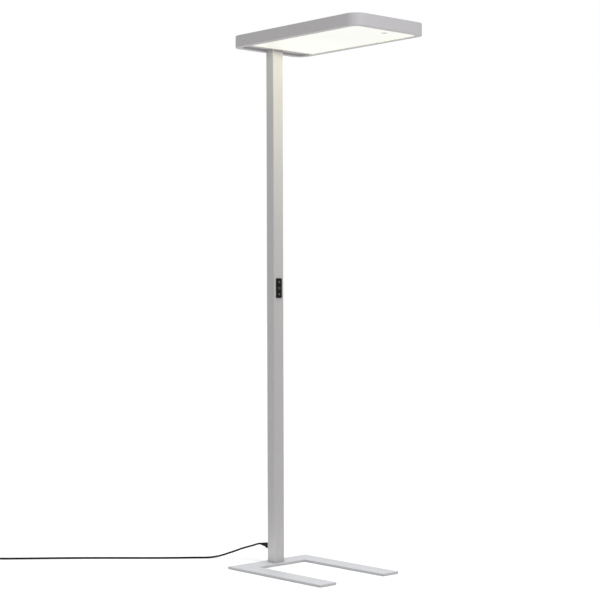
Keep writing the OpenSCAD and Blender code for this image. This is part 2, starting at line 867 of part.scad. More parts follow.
// White wall round the optical chamber, which holds the diffuser down on its seat
module light_box() {
    color([0.95, 0.95, 0.95])
    difference() {
        translate([0, 0, lip_z + diffuser_t])
        linear_extrude(carrier_z - lip_z - diffuser_t)
        difference() {
            head_part(box_inset, box_x0, head_x1);
            head_part(box_inset + box_wall, box_x0 + box_wall, head_x1);
        }
        translate([0, outer_row, lead_z]) x_rod(box_x0 - 1, box_x0 + box_wall + 1, lead_hole_d);
    }
}

// Sensor clipped into the diffuser: a rim below, a lens in its middle and a snap ring above
module sensor_window() {
    ring_t = 2;
    body_l = 14;
    color([0.6, 0.6, 0.6])
    translate([sensor_x, sensor_side, 0])
    difference() {
        union() {
            translate([0, 0, lip_z - sensor_drop])
                cylinder(d1 = sensor_d - 2, d2 = sensor_d, h = sensor_drop);
            translate([0, 0, lip_z]) cylinder(d = sensor_body_d, h = body_l);
            translate([0, 0, lip_z + diffuser_t]) cylinder(d = sensor_d - 3, h = ring_t);
            translate([0, 0, lip_z - sensor_drop + sensor_lens_r - 1]) sphere(r = sensor_lens_r);
        }
        translate([0, 0, lip_z - sensor_drop - 1]) cylinder(d = sensor_body_d - 4, h = 1.4);
    }
}

// Aluminium plate that carries the light strips and the driver
module carrier_plate() {
    color([0.8, 0.8, 0.82])
    difference() {
        head_cut(carrier_inset, carrier_z, carrier_top);
        for (x = [-1, 1], y = [-1, 1])
            translate([x * carrier_screw_x, y * carrier_screw_y, carrier_z - 1])
                cylinder(d = carrier_screw_d + 2 * screw_gap, h = carrier_t + 2);
        translate([0, 0, carrier_z - 1])
            round_head(shelf_screw_inset) cylinder(d = small_screw_d + 2 * screw_gap, h = carrier_t + 2);
    }
}

module carrier_screws() {
    color([0.6, 0.6, 0.62])
    for (x = [-1, 1], y = [-1, 1])
        translate([x * carrier_screw_x, y * carrier_screw_y, carrier_top])
            pan_screw(carrier_screw_d, carrier_t + bracket_t - 0.5);
}

module shelf_screws() {
    color([0.6, 0.6, 0.62])
    translate([0, 0, carrier_top]) round_head(shelf_screw_inset) pan_screw(small_screw_d, small_screw_l);
}

// One light strip: a board with a row of light-emitting diodes on its outer face
module led_strip(y, z, out) {
    count = floor((strip_x1 - strip_x0 - 20) / led_pitch);
    first = (strip_x0 + strip_x1 - (count - 1) * led_pitch) / 2;
    translate([0, y, z]) scale([1, 1, out]) {
        block([strip_x0, -pcb_w / 2, 0], [strip_x1, pcb_w / 2, pcb_t]);
        for (i = [0 : count - 1])
            translate([first + i * led_pitch - led_size / 2, -led_size / 2, pcb_t - 0.1])
                cube([led_size, led_size, led_h + 0.1]);
    }
}

module down_led_strips() {
    color([0.95, 0.95, 0.85])
    for (y = down_rows)
        led_strip(y, carrier_z, -1);
}

module up_led_strips() {
    color([0.95, 0.95, 0.85])
    for (y = up_rows)
        led_strip(y, carrier_top, 1);
}

// Driver hung under the carrier plate, with a foot that takes its screw
module led_driver() {
    body_x0 = driver_x0 + 1;
    body_x1 = driver_x0 + driver_l - 1;
    mid_x = (body_x0 + body_x1) / 2;
    color([0.9, 0.9, 0.9])
    difference() {
        union() {
            slab(body_x0, body_x1, driver_y0, driver_y1, carrier_z - driver_h, carrier_z, 2);
            slab(mid_x - 9, mid_x + 9, driver_y0, driver_y1 + driver_foot, carrier_z - 2, carrier_z, 1);
        }
        translate([mid_x, driver_y1 + driver_foot / 2, carrier_z - 3]) cylinder(d = 3.2, h = 4);
    }
}

module terminal_block() {
    x1 = driver_x0 + terminal_l;
    z0 = carrier_z - terminal_h;
    color([0.92, 0.92, 0.9])
    difference() {
        slab(driver_x0, x1, terminal_y - terminal_w, terminal_y, z0, carrier_z, 1);
        for (i = [-1 : 1])
            translate([(driver_x0 + x1) / 2 + 8 * i, terminal_y - 8, z0 - 1])
                cylinder(d = terminal_screw_d, h = 6);
    }
}

// Cable from the terminal block past the post's back to the driver
module driver_link() {
    color([0.85, 0.85, 0.85])
    translate([link_x, terminal_y, wire_z]) rotate([-90, 0, 0])
        cylinder(d = link_d, h = driver_y0 - terminal_y);
}

// Lead from the driver through the rail to a joint block on the nearest light strip
module led_lead() {
    x0 = driver_x0 + driver_l - 1;
    x1 = strip_x0 + 2;
    color([0.9, 0.9, 0.9]) {
        translate([0, outer_row, lead_z]) x_rod(x0, x1, lead_d);
        block(
            [x1 - 0.5, outer_row - joint_block / 2, lead_z - lead_d / 2 - 1],
            [x1 + joint_block, outer_row + joint_block / 2, carrier_z - pcb_t]
        );
    }
}

// Pressed sheet cover under the rear compartment: a flange on the lip and a raised floor
module rear_cover() {
    floor_z0 = head_z0 + cover_recess;
    color([0.75, 0.75, 0.76])
    difference() {
        union() {
            translate([0, 0, lip_z]) linear_extrude(cover_t) head_part(pane_inset, head_x0, rail_x - fit_gap);
            translate([0, 0, lip_z]) linear_extrude(floor_z0 + cover_t - lip_z)
                head_part(lip_w - cover_t, head_x0, compartment_x1 + cover_t);
        }
        translate([0, 0, lip_z - 1])
            linear_extrude(floor_z0 - lip_z + 1) head_part(lip_w, head_x0, compartment_x1);
        slab(
            -post_x / 2 - fit_gap, post_x / 2 + fit_gap, -post_y / 2 - fit_gap, post_y / 2 + fit_gap,
            floor_z0 - 1, floor_z0 + cover_t + 1, post_r
        );
    }
}

module uplight_cover() {
    color([0.9, 0.93, 0.95, 0.6])
    slab(
        window_x0 - pane_overlap, window_x1 + pane_overlap,
        -window_w / 2 - pane_overlap, window_w / 2 + pane_overlap,
        top_z - uplight_t, top_z, window_r
    );
}

module top_cover() {
    color([0.66, 0.66, 0.67])
    difference() {
        head_cut(head_wall + fit_gap, top_z, lamp_h);
        slab(window_x0, window_x1, -window_w / 2, window_w / 2, top_z - 1, lamp_h + 1, window_r);
        translate([0, 0, lamp_h])
            round_head(cover_screw_inset) sunk_hole(small_screw_d, small_head_d, top_t + 1);
    }
}

module cover_screws() {
    color([0.6, 0.6, 0.62])
    translate([0, 0, lamp_h])
        round_head(cover_screw_inset) sunk_screw(small_screw_d, small_head_d, small_screw_l);
}

base_plate();
foot_pads();
base_screws();
post_tube();
power_inlet();
lead_connector();
strain_relief();
mains_cord();
cord_coil();
cord_tie();
mains_plug();
plug_pins();
riser_cable();
control_cable();
control_bezel();
control_board();
button_brighter();
button_power();
button_dimmer();
head_bracket();
bracket_bolts();
head_frame();
divider_rail();
diffuser();
light_box();
sensor_window();
carrier_plate();
carrier_screws();
shelf_screws();
down_led_strips();
up_led_strips();
led_driver();
terminal_block();
driver_link();
led_lead();
rear_cover();
uplight_cover();
top_cover();
cover_screws();
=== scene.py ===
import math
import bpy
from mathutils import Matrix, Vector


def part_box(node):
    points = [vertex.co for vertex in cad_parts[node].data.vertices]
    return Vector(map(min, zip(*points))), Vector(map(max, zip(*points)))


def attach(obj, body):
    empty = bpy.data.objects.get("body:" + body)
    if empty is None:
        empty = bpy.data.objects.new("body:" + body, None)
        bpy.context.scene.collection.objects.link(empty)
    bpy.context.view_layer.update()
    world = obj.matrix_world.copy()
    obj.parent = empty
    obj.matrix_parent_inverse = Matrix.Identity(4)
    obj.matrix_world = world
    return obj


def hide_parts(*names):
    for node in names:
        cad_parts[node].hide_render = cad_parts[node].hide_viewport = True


bl_info = {
    "name": "Office floor lamp",
    "version": (1, 0, 0),
    "blender": (4, 5, 0),
    "location": "3D View > Sidebar > Lamp",
    "description": "Dresses the packed model of an office floor lamp and sets light and camera",
    "category": "Object",
}

import bmesh
import bpy
from bpy.props import FloatProperty, FloatVectorProperty, PointerProperty
from bpy.types import Operator, Panel, PropertyGroup
from mathutils import Matrix, Vector

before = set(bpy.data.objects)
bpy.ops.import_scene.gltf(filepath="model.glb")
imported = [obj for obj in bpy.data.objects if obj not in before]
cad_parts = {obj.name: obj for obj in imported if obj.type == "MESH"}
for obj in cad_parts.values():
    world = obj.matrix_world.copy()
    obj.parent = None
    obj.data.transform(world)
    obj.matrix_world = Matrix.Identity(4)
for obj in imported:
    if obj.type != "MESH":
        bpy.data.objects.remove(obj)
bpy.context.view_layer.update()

MM = 0.001
LAMP = "lamp"


def cad_size(node):
    """Low and high corner of a CAD node, in millimetres"""
    low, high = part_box(node)
    return low / MM, high / MM


# Sizes that the pieces share, read from the CAD model (millimetres, like all that follow)
HEAD_LOW, HEAD_HIGH = cad_size("head_frame")
BASE_LOW, BASE_HIGH = cad_size("base_plate")
BEZEL_LOW, BEZEL_HIGH = cad_size("control_bezel")
POST_LOW, POST_HIGH = cad_size("post_tube")
COVER_LOW, COVER_HIGH = cad_size("top_cover")
CONNECTOR_LOW = cad_size("lead_connector")[0]
RELIEF_LOW, RELIEF_HIGH = cad_size("strain_relief")
SENSOR_LOW, SENSOR_HIGH = cad_size("sensor_window")
CARRIER_LOW, CARRIER_HIGH = cad_size("carrier_plate")
LID_LOW, LID_HIGH = cad_size("uplight_cover")

# The head's wall, with its lip, the shelf under the carrier plate and the rib under the cover
HEAD_CORNER = 47
HEAD_WALL = 3
LIP_WIDTH = 25
LIP_THICKNESS = 2.4
SHELF_WIDTH = 15
SHELF_THICKNESS = 2
RIB_WIDTH = 9
STRIP_THICKNESS = 1.6

# The top cover's window, which its pane overlaps, and its screws
PANE_OVERLAP = 10
WINDOW_CORNER = 20
COVER_SCREW_INSET = 6.6
COVER_SCREW_RUN = HEAD_CORNER + 20
COVER_SCREW_HOLE = 2.8

# The base's arms and rear bar, and the screws into the post
BASE_ARM = 78
BASE_BAR = 82
BASE_CORNER = 1.5
BASE_SCREW_X = 12.3
BASE_SCREW_Y = 15.8
BASE_SCREW_HOLE = 6.1

# The control panel's front, and the shell behind it with a ledge for the board
PANEL_HEIGHT = 1028
PANEL_CORNER = 2.5
PANEL_WALL = 2
BUTTON_PITCH = 23
BUTTON_HOLE = 6.8
SHELL_INSET = 2.5
SHELL_WALL = 1.2
BOARD_SEAT = 2
BOARD_LEDGE = 1

# The lead, from its strain relief down to the floor and over it to the coil
INLET_HEIGHT = 67
LEAD_D = 7
LEAD_FLOOR = LEAD_D / 2 + 0.1
LEAD_DROP = [
    (-89.2, 0, 67), (-99, 0, 65.5), (-112, -1, 61.5), (-130, -3, 55.5), (-149, -7, 49.5),
    (-166, -12, 44), (-182, -19, 38), (-197, -26, 31.5), (-211, -34, 25.5), (-224, -43, 20),
    (-236, -53, 14.5), (-247, -64, 10), (-258, -75, 6.5), (-267, -87, 4.5),
]
LEAD_RUN = [
    (-275, -100), (-284, -113), (-304, -135), (-323, -159), (-342, -183), (-362, -206),
    (-402, -252), (-444, -297), (-487, -342), (-531, -388), (-574, -434), (-617, -482),
    (-659, -531), (-700, -581), (-741, -630), (-780, -676),
]

# The coil, its tie and the plug at its end
COIL_CENTRE = Vector((-798, -774, 0))
COIL_TURNS = 5.25
COIL_INNER = 31
COIL_PITCH = LEAD_D + 0.5
COIL_OUTER = COIL_INNER + COIL_PITCH * COIL_TURNS / 2
COIL_START = 139
COIL_LOW = 5.1
TIE_ANGLE = math.radians(COIL_START + 45)
TIE_WIDTH = 12
TIE_THICKNESS = 1.4
TAIL = 44
PLUG_ANGLE = math.radians(COIL_START + 360 * COIL_TURNS + 90)
PLUG_DIRECTION = Vector((math.cos(PLUG_ANGLE), math.sin(PLUG_ANGLE), 0))
PLUG_HEIGHT = 19.1


# Settings that a user would change


class LampFinishes(PropertyGroup):
    """Colours of the lamp's finishes"""

    post_coat: FloatVectorProperty(
        name="Post and head", description="Silver-grey powder coat of the post and the head",
        subtype="COLOR", size=3, min=0, max=1, default=(0.402, 0.392, 0.399))
    base_coat: FloatVectorProperty(
        name="Base", description="Light powder coat of the base plate",
        subtype="COLOR", size=3, min=0, max=1, default=(0.533, 0.541, 0.57))
    moulding: FloatVectorProperty(
        name="Connector and plug", description="Black moulded plastic of the lead's fittings",
        subtype="COLOR", size=3, min=0, max=1, default=(0.008, 0.008, 0.0085))
    sheath: FloatVectorProperty(
        name="Mains lead", description="Black sheath of the mains lead",
        subtype="COLOR", size=3, min=0, max=1, default=(0.008, 0.008, 0.0085))
    panel: FloatVectorProperty(
        name="Control panel", description="Black plastic round the buttons",
        subtype="COLOR", size=3, min=0, max=1, default=(0.005, 0.005, 0.005))
    button: FloatVectorProperty(
        name="Buttons", description="Dark grey plastic of the button caps",
        subtype="COLOR", size=3, min=0, max=1, default=(0.012, 0.012, 0.012))
    button_mark: FloatVectorProperty(
        name="Button marks", description="Lighter grey of the raised marks on the buttons",
        subtype="COLOR", size=3, min=0, max=1, default=(0.13, 0.13, 0.134))
    diffuser: FloatVectorProperty(
        name="Diffuser", description="Opal sheet of the diffuser",
        subtype="COLOR", size=3, min=0, max=1, default=(0.36, 0.36, 0.355))
    light: FloatVectorProperty(
        name="Light", description="Colour of the light from the diffuser",
        subtype="COLOR", size=3, min=0, max=1, default=(0.98, 0.985, 0.9))
    glow: FloatProperty(
        name="Glow", description="Strength of the light from the diffuser",
        min=0, max=10, default=0.55)


class LampSizes(PropertyGroup):
    """Sizes of the detail that the visible pieces add to the CAD model"""

    edge: FloatProperty(
        name="Edge radius", description="Radius on the outer edges of the coated metal",
        unit="LENGTH", min=0.0001, max=0.002, default=0.0009)
    panel_edge: FloatProperty(
        name="Panel edge radius", description="Radius on the edges of the control panel",
        unit="LENGTH", min=0.0001, max=0.001, default=0.0005)
    powder: FloatProperty(
        name="Powder grain", description="Size of the grain in the powder coat",
        unit="LENGTH", min=0.0001, max=0.005, default=0.0007)
    lead_d: FloatProperty(
        name="Lead diameter", description="Diameter of the mains lead",
        unit="LENGTH", min=0.006, max=0.0075, default=LEAD_D * MM)


class LampStage(PropertyGroup):
    """Camera, floor and lights"""

    camera_place: FloatVectorProperty(
        name="Camera", description="Place of the camera",
        subtype="TRANSLATION", unit="LENGTH", size=3, default=(4.23215, -3.72625, 0.98739))
    camera_yaw: FloatProperty(
        name="Heading", description="Direction the camera looks in, from +X towards +Y",
        subtype="ANGLE", default=math.radians(137.6982))
    camera_pitch: FloatProperty(
        name="Pitch", description="Tilt of the camera above the horizon",
        subtype="ANGLE", default=math.radians(-0.0367))
    camera_roll: FloatProperty(
        name="Roll", description="Turn of the camera about its own axis",
        subtype="ANGLE", default=math.radians(-0.1652))
    lens: FloatProperty(
        name="Focal length", description="Focal length on a 36 mm wide sensor",
        unit="CAMERA", min=10, max=400, default=90.881)
    sky: FloatProperty(
        name="Room light", description="Strength of the even light from all sides",
        min=0, max=4, default=0.42)
    top: FloatProperty(
        name="Top light", description="Strength of the wide soft light from straight above",
        min=0, max=10, default=1.57)
    key: FloatProperty(
        name="Key light", description="Strength of the wide soft light from the front",
        min=0, max=10, default=0.47)
    front: FloatProperty(
        name="Front light", description="Power of the lamp in front of the head, in watts",
        min=0, max=500, default=7.8)
    light_colour: FloatVectorProperty(
        name="Lamp's own light", description="Colour of the light that the head throws down",
        subtype="COLOR", size=3, min=0, max=1, default=(1.0, 0.99, 0.72))
    light_near: FloatProperty(
        name="Light at the post",
        description="Power of the head's light over its whole length, in watts",
        min=0, max=100, default=1.6)
    light_far: FloatProperty(
        name="Light at the front",
        description="Power of the head's light at its free end, in watts",
        min=0, max=100, default=2.6)
    floor_size: FloatProperty(
        name="Floor", description="Width of the floor",
        unit="LENGTH", min=5, max=200, default=80)


class LampSettings(PropertyGroup):
    """All settings of the lamp"""

    finishes: PointerProperty(type=LampFinishes)
    sizes: PointerProperty(type=LampSizes)
    stage: PointerProperty(type=LampStage)


# Finishes, with their grains in metres

FLAKE = 0.00035


def feed(tree, node, inputs):
    """Sets inputs of a shader node; each is a value, or the socket that feeds it"""
    for key, value in inputs.items():
        if isinstance(value, bpy.types.NodeSocket):
            tree.links.new(value, node.inputs[key])
        else:
            node.inputs[key].default_value = value


def add(tree, kind, inputs, **settings):
    """Adds a shader node with its settings and inputs"""
    made = tree.nodes.new(kind)
    for key, value in settings.items():
        setattr(made, key, value)
    feed(tree, made, inputs)
    return made


def noise(tree, place, size, detail=2.0):
    """Noise whose grains have the given size"""
    inputs = {"Vector": place, "Scale": 1 / size, "Detail": detail}
    return add(tree, "ShaderNodeTexNoise", inputs).outputs[0]


def stretched(tree, place, scale):
    return add(tree, "ShaderNodeMapping", {"Vector": place, "Scale": scale}).outputs[0]


def spread(tree, value, low, high, start=0.3, end=0.7):
    """Maps a texture's middle range to the range from low to high"""
    inputs = {"Value": value, "From Min": start, "From Max": end, "To Min": low, "To Max": high}
    return add(tree, "ShaderNodeMapRange", inputs).outputs[0]


def between(tree, factor, first, second):
    """Mixes two colours"""
    inputs = {0: factor, 6: first, 7: second}
    return add(tree, "ShaderNodeMix", inputs, data_type="RGBA").outputs[2]


def combined(tree, operation, first, second):
    return add(tree, "ShaderNodeMath", {0: first, 1: second}, operation=operation).outputs[0]


def bumps(tree, height, distance):
    return add(tree, "ShaderNodeBump", {"Height": height, "Distance": distance}).outputs[0]


def shade(colour, by):
    """The colour made lighter or darker, with its alpha"""
    return (*(min(1.0, c * by) for c in colour), 1.0)


def tinted(tree, texture, colour, dark, light, *ends):
    """The colour from a darker to a lighter shade, as a texture's middle range rises"""
    level = spread(tree, texture, 0, 1, *ends)
    return between(tree, level, shade(colour, dark), shade(colour, light))


# Each kind of finish returns what goes into its shader's inputs


def coated(tree, place, colour, roughness, grain, height, tint, uneven=0.06, shine=0.5):
    """A finish with fine grain, a soft cloud in its colour and an uneven gloss"""
    fine = noise(tree, place, grain, 3.0)
    both = between(tree, 0.45, noise(tree, place, 0.11), fine)
    return {
        "Base Color": tinted(tree, both, colour, 1 - tint, 1 + tint, 0.35, 0.65),
        "Roughness": spread(tree, both, roughness - uneven, roughness + uneven),
        "Specular IOR Level": shine,
        "Normal": bumps(tree, fine, height),
    }


def powder_coat(tree, place, colour, grain, painted_side_shade=1.0):
    """Fine orange peel with small flakes that catch the light; painted shade may darken its upright
    sides
    """
    peel = noise(tree, place, grain, 3.0)
    flakes = add(tree, "ShaderNodeTexVoronoi", {"Vector": place, "Scale": 1 / FLAKE})
    flake = spread(tree, flakes.outputs["Color"], 0, 1, 0.2, 0.9)
    tone = tinted(tree, noise(tree, place, 0.16), colour, 0.985, 1.015)
    tone = between(tree, flake, tone, shade(colour, 1.06))
    # Painted shade: faces turned away from straight up get a darker tone, standing in for the
    # lesser light that reaches the sides
    if painted_side_shade < 1:
        normal = add(tree, "ShaderNodeTexCoord", {}).outputs["Normal"]
        rise = add(tree, "ShaderNodeSeparateXYZ", {"Vector": normal}).outputs["Z"]
        flat = add(tree, "ShaderNodeMath", {0: rise}, operation="ABSOLUTE").outputs[0]
        tone = between(tree, spread(tree, flat, 0, 1), shade(colour, painted_side_shade), tone)
    return {
        "Base Color": tone,
        "Roughness": spread(tree, peel, 0.42, 0.56),
        "Normal": bumps(tree, peel, 0.00003),
        "Metallic": 0.12,
        "Specular IOR Level": 0.4,
    }


def bare_metal(tree, place, colour, roughness, grain, height, stretch=(1, 1, 1)):
    """Bare metal; a stretched grain gives it fine lines along one direction"""
    lines = noise(tree, stretched(tree, place, stretch), grain, 4.0)
    return {
        "Base Color": tinted(tree, lines, colour, 0.86, 1.08),
        "Roughness": spread(tree, lines, roughness - 0.08, roughness + 0.1),
        "Normal": bumps(tree, lines, height),
        "Metallic": 1.0,
    }


def woven(tree, place, colour, thread):
    """Close weave of crossing threads, with a little fuzz"""
    inputs = {"Vector": place, "Scale": 0.3 / thread, "Distortion": 1.5}
    waves = [
        add(tree, "ShaderNodeTexWave", inputs, bands_direction=axis).outputs["Fac"]
        for axis in ("DIAGONAL", "Z")
    ]
    weave = combined(tree, "MULTIPLY", *waves)
    height = combined(tree, "ADD", weave, noise(tree, place, thread / 3, 4.0))
    return {
        "Base Color": tinted(tree, height, colour, 0.5, 1.7, 0.3, 1.3),
        "Normal": bumps(tree, height, thread / 4),
        "Roughness": 0.9,
        "Sheen Weight": 0.3,
    }


def opal_sheet(tree, place, colour, light, glow):
    """Lit opal sheet, a little warmer and brighter towards the post"""
    across = add(tree, "ShaderNodeSeparateXYZ", {"Vector": place}).outputs["X"]
    forward = spread(tree, across, 0, 1, 0.04, 0.36)
    cloud = spread(tree, noise(tree, place, 0.2), 0, 0.35)
    warm = (light[0], light[1], light[2] * 0.94)
    lit = between(tree, forward, shade(warm, 1.045), shade(light, 0.865))
    grain = noise(tree, place, 0.0005)
    return {
        "Base Color": tinted(tree, grain, colour, 0.98, 1.02),
        "Normal": bumps(tree, grain, 0.00001),
        "Emission Color": between(tree, cloud, lit, shade(light, 0.96)),
        "Emission Strength": glow,
        "Roughness": 0.38,
    }


def strip_board(tree, place, face, outward, light, glow):
    """White board of a light strip, with lit yellow emitters beyond its face"""
    height = add(tree, "ShaderNodeSeparateXYZ", {"Vector": place}).outputs["Z"]
    emitter = spread(tree, height, 0, 1, face * MM, face * MM + 0.0001 * outward)
    level = spread(tree, noise(tree, place, 0.0008, 3.0), 0, 1)
    white = between(tree, level, (0.8, 0.8, 0.78, 1), (0.9, 0.9, 0.88, 1))
    return {
        "Base Color": between(tree, emitter, white, (0.95, 0.72, 0.2, 1)),
        "Emission Color": between(tree, emitter, (0, 0, 0, 1), shade(light, 1.0)),
        "Emission Strength": glow,
        "Roughness": 0.4,
    }


def clear_sheet(tree, place, prism):
    """Clear acrylic with rows of small prisms"""
    inputs = {"Vector": stretched(tree, place, (1, 1, 0)), "Scale": 1 / prism, "Randomness": 0}
    prisms = add(tree, "ShaderNodeTexVoronoi", inputs, distance="CHEBYCHEV")
    level = spread(tree, noise(tree, place, 0.05), 0, 1)
    return {
        "Base Color": between(tree, level, (0.93, 0.95, 0.95, 1), (0.97, 0.98, 0.98, 1)),
        "Normal": bumps(tree, prisms.outputs["Distance"], prism / 10),
        "Transmission Weight": 0.9,
        "Roughness": 0.25,
        "IOR": 1.49,
    }


def finish_of(name):
    """The named finish, made the first time that a piece asks for it"""
    made = bpy.data.materials.get(name)
    if made:
        return made
    colours = bpy.context.scene.office_lamp.finishes
    powder = bpy.context.scene.office_lamp.sizes.powder
    down, up = CARRIER_LOW.z - STRIP_THICKNESS, CARRIER_HIGH.z + STRIP_THICKNESS
    makers = {
        # Colour, grain and share of the tone that painted shade leaves on upright sides
        "silver_powder_coat": (powder_coat, colours.post_coat, powder),
        # The base's upright sides are darkened with painted shade
        "light_powder_coat": (powder_coat, colours.base_coat, powder, 0.87),
        # Colour, roughness, grain, its height, its tint, unevenness of the gloss and shine
        "black_grained_plastic": (coated, colours.moulding, 0.5, 0.0007, 0.00006, 0.3, 0.08, 0.1),
        "black_cable_sheath": (coated, colours.sheath, 0.42, 0.0009, 0.00004, 0.25, 0.06, 0.1),
        "black_panel_plastic": (coated, colours.panel, 0.32, 0.0005, 0.00001, 0.3, 0.05, 0.08),
        "dark_grey_button_plastic":
            (coated, colours.button, 0.45, 0.0004, 0.00002, 0.12, 0.06, 0.08),
        "light_grey_mark": (coated, colours.button_mark, 0.5, 0.0004, 0.00001, 0.08),
        "black_rubber": (coated, (0.02, 0.02, 0.02), 0.8, 0.0009, 0.0001, 0.3),
        "green_circuit_board": (coated, (0.02, 0.16, 0.06), 0.35, 0.0016, 0.00004, 0.4),
        "white_moulded_plastic": (coated, (0.84, 0.84, 0.83), 0.45, 0.0007, 0.00003, 0.03),
        "white_cable_sheath": (coated, (0.8, 0.8, 0.79), 0.45, 0.0009, 0.00003, 0.04),
        "pale_sensor_plastic": (coated, (0.74, 0.75, 0.73), 0.4, 0.0006, 0.00002, 0.05),
        "milky_lens": (coated, (0.47, 0.48, 0.48), 0.18, 0.0016, 0.0002, 0.1),
        # Colour, roughness, grain, its height and its stretch
        "zinc_plated_steel": (bare_metal, (0.62, 0.63, 0.64), 0.3, 0.0005, 0.00001),
        "nickel_plated_brass": (bare_metal, (0.72, 0.69, 0.62), 0.24, 0.0002, 0.000002),
        "rolled_aluminium":
            (bare_metal, (0.75, 0.76, 0.78), 0.36, 0.0006, 0.00002, (0.02, 1, 1)),
        "hook_and_loop_strap": (woven, (0.02, 0.02, 0.021), 0.0009),
        "lit_opal_acrylic": (opal_sheet, colours.diffuser, colours.light, colours.glow),
        "prismatic_clear_acrylic": (clear_sheet, 0.004),
        # Height and direction of the board's face, and the light of its emitters
        "down_strip_board": (strip_board, down, -1, colours.light, 1.0),
        "up_strip_board": (strip_board, up, 1, colours.light, 2.5),
    }
    maker, *values = makers[name]
    material = bpy.data.materials.new(name)
    material.use_nodes = True
    tree = material.node_tree
    place = add(tree, "ShaderNodeTexCoord", {}).outputs["Object"]
    feed(tree, tree.nodes["Principled BSDF"], maker(tree, place, *values))
    return material


# Shapes, in millimetres until a piece is made


def rounded_outline(corners, radii, steps=6):
    """Outline with rounded corners, as points with the normals to the right of its run"""
    count = len(corners)
    radii = radii if isinstance(radii, list) else [radii] * count
    outline = []
    for i, (corner, radius) in enumerate(zip(corners, radii)):
        here = Vector(corner)
        coming = (here - Vector(corners[i - 1])).normalized()
        going = (Vector(corners[(i + 1) % count]) - here).normalized()
        turn = math.atan2(coming.cross(going), coming.dot(going))
        first = Vector((coming.y, -coming.x))
        if radius == 0:
            second = Vector((going.y, -going.x))
            middle = (first + second) / (1 + first.dot(second))
            outline.append((*here, *middle))
            continue
        side = math.copysign(1, turn)
        start = here - coming * radius * math.tan(abs(turn) / 2)
        centre = start - side * radius * first
        for k in range(steps + 1):
            normal = Matrix.Rotation(turn * k / steps, 2) @ first
            outline.append((*(centre + side * radius * normal), *normal))
    return outline


def rectangle(x0, x1, y0, y1, radius, steps=6):
    return rounded_outline([(x0, y0), (x1, y0), (x1, y1), (x0, y1)], radius, steps)


def circle(x, y, radius, steps=48):
    turns = [2 * math.pi * k / steps for k in range(steps)]
    return [
        (x + radius * math.cos(a), y + radius * math.sin(a), math.cos(a), math.sin(a))
        for a in turns
    ]


def as_hole(outline):
    """The same outline as the edge of an opening, with its normals away from the material"""
    return [(x, y, -nx, -ny) for x, y, nx, ny in outline]


def upright(a, b, height):
    return Vector((a, b, height))


def facing_front(a, b, height):
    """Stands a flat piece on the post's front"""
    return Vector((height, a, b))


def new_object(name, data):
    made = bpy.data.objects.new(name, data)
    bpy.context.scene.collection.objects.link(made)
    return made


def add_piece(name, bm, finish, body=LAMP, smooth=38):
    """Makes the mesh an object, smooths it, gives it its finish and lets it ride on its body"""
    bmesh.ops.recalc_face_normals(bm, faces=bm.faces)
    bm.transform(Matrix.Scale(MM, 4))
    mesh = bpy.data.meshes.new(name)
    bm.to_mesh(mesh)
    bm.free()
    mesh.shade_smooth()
    mesh.set_sharp_from_angle(angle=math.radians(smooth))
    mesh.materials.append(finish_of(finish))
    piece = new_object(name, mesh)
    weighted = piece.modifiers.new("Even shading", "WEIGHTED_NORMAL")
    weighted.keep_sharp = True
    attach(piece, body)
    return piece


def set_finish(finish, *nodes):
    """Gives CAD nodes their finish"""
    material = finish_of(finish)
    for node in nodes:
        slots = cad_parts[node].data.materials
        if slots:
            slots[0] = material
        else:
            slots.append(material)


def eased_wall(outline, low, high, edge, steps=3):
    """Outlines and heights of a wall whose two edges are rounded"""
    turns = [math.pi / 2 * k / steps for k in range(steps + 1)]
    rise = [(edge * (1 - math.cos(t)), edge * (1 - math.sin(t))) for t in turns]
    levels = [(low + up, inset) for up, inset in rise]
    levels += [(high - up, inset) for up, inset in reversed(rise)]
    return [
        ([(x - inset * nx, y - inset * ny) for x, y, nx, ny in outline], height)
        for height, inset in levels
    ]


def join(bm, rings):
    """Joins each ring of vertices with the next; a ring may be one vertex, repeated"""
    for ring, after in zip(rings, rings[1:]):
        for i in range(len(ring)):
            corners = dict.fromkeys((ring[i - 1], ring[i], after[i], after[i - 1]))
            bm.faces.new(tuple(corners))


def add_wall(bm, levels, place):
    """Joins outlines at their heights into a wall, and returns its first and last ring"""
    rings = [
        [bm.verts.new(place(*point[:2], height)) for point in outline]
        for outline, height in levels
    ]
    join(bm, rings)
    return rings[0], rings[-1]


def add_bar(bm, levels, place):
    """Adds a wall with closed ends"""
    for ring in add_wall(bm, levels, place):
        bm.faces.new(ring)


def fill(bm, *rings):
    """Closes the flat face between rings"""
    edges = [bm.edges.get((ring[i - 1], ring[i])) for ring in rings for i in range(len(ring))]
    bmesh.ops.triangle_fill(bm, use_beauty=True, edges=edges)


def plate_mesh(outlines, low, high, edge, place=upright):
    """Flat piece with eased edges; the first outline is its rim, the others are openings"""
    bm = bmesh.new()
    ends = [add_wall(bm, eased_wall(outline, low, high, edge), place) for outline in outlines]
    for rings in zip(*ends):
        fill(bm, *rings)
    return bm


def swept_mesh(outline, profile, place=upright):
    """Carries a closed profile of insets and heights round an outline"""
    bm = bmesh.new()
    rings = [
        [bm.verts.new(place(x - inset * nx, y - inset * ny, height)) for inset, height in profile]
        for x, y, nx, ny in outline
    ]
    join(bm, rings + rings[:1])
    return bm


def turned_mesh(profile, origin, axis, side, segments=72, shape=None):
    """Turns a profile of distances and radii about an axis; shape may change the radius"""
    bm = bmesh.new()
    along, first = Vector(axis), Vector(side)
    second = along.cross(first)
    rings = []
    for distance, radius in profile:
        centre = Vector(origin) + along * distance
        if radius == 0:
            rings.append([bm.verts.new(centre)] * segments)
            continue
        ring = []
        for k in range(segments):
            angle = 2 * math.pi * k / segments
            reach = shape(distance, radius, angle) if shape else radius
            outward = math.cos(angle) * first + math.sin(angle) * second
            ring.append(bm.verts.new(centre + reach * outward))
        rings.append(ring)
    join(bm, rings)
    return bm


def smooth_step(value):
    value = max(0.0, min(1.0, value))
    return value * value * (3 - 2 * value)


# The mains lead


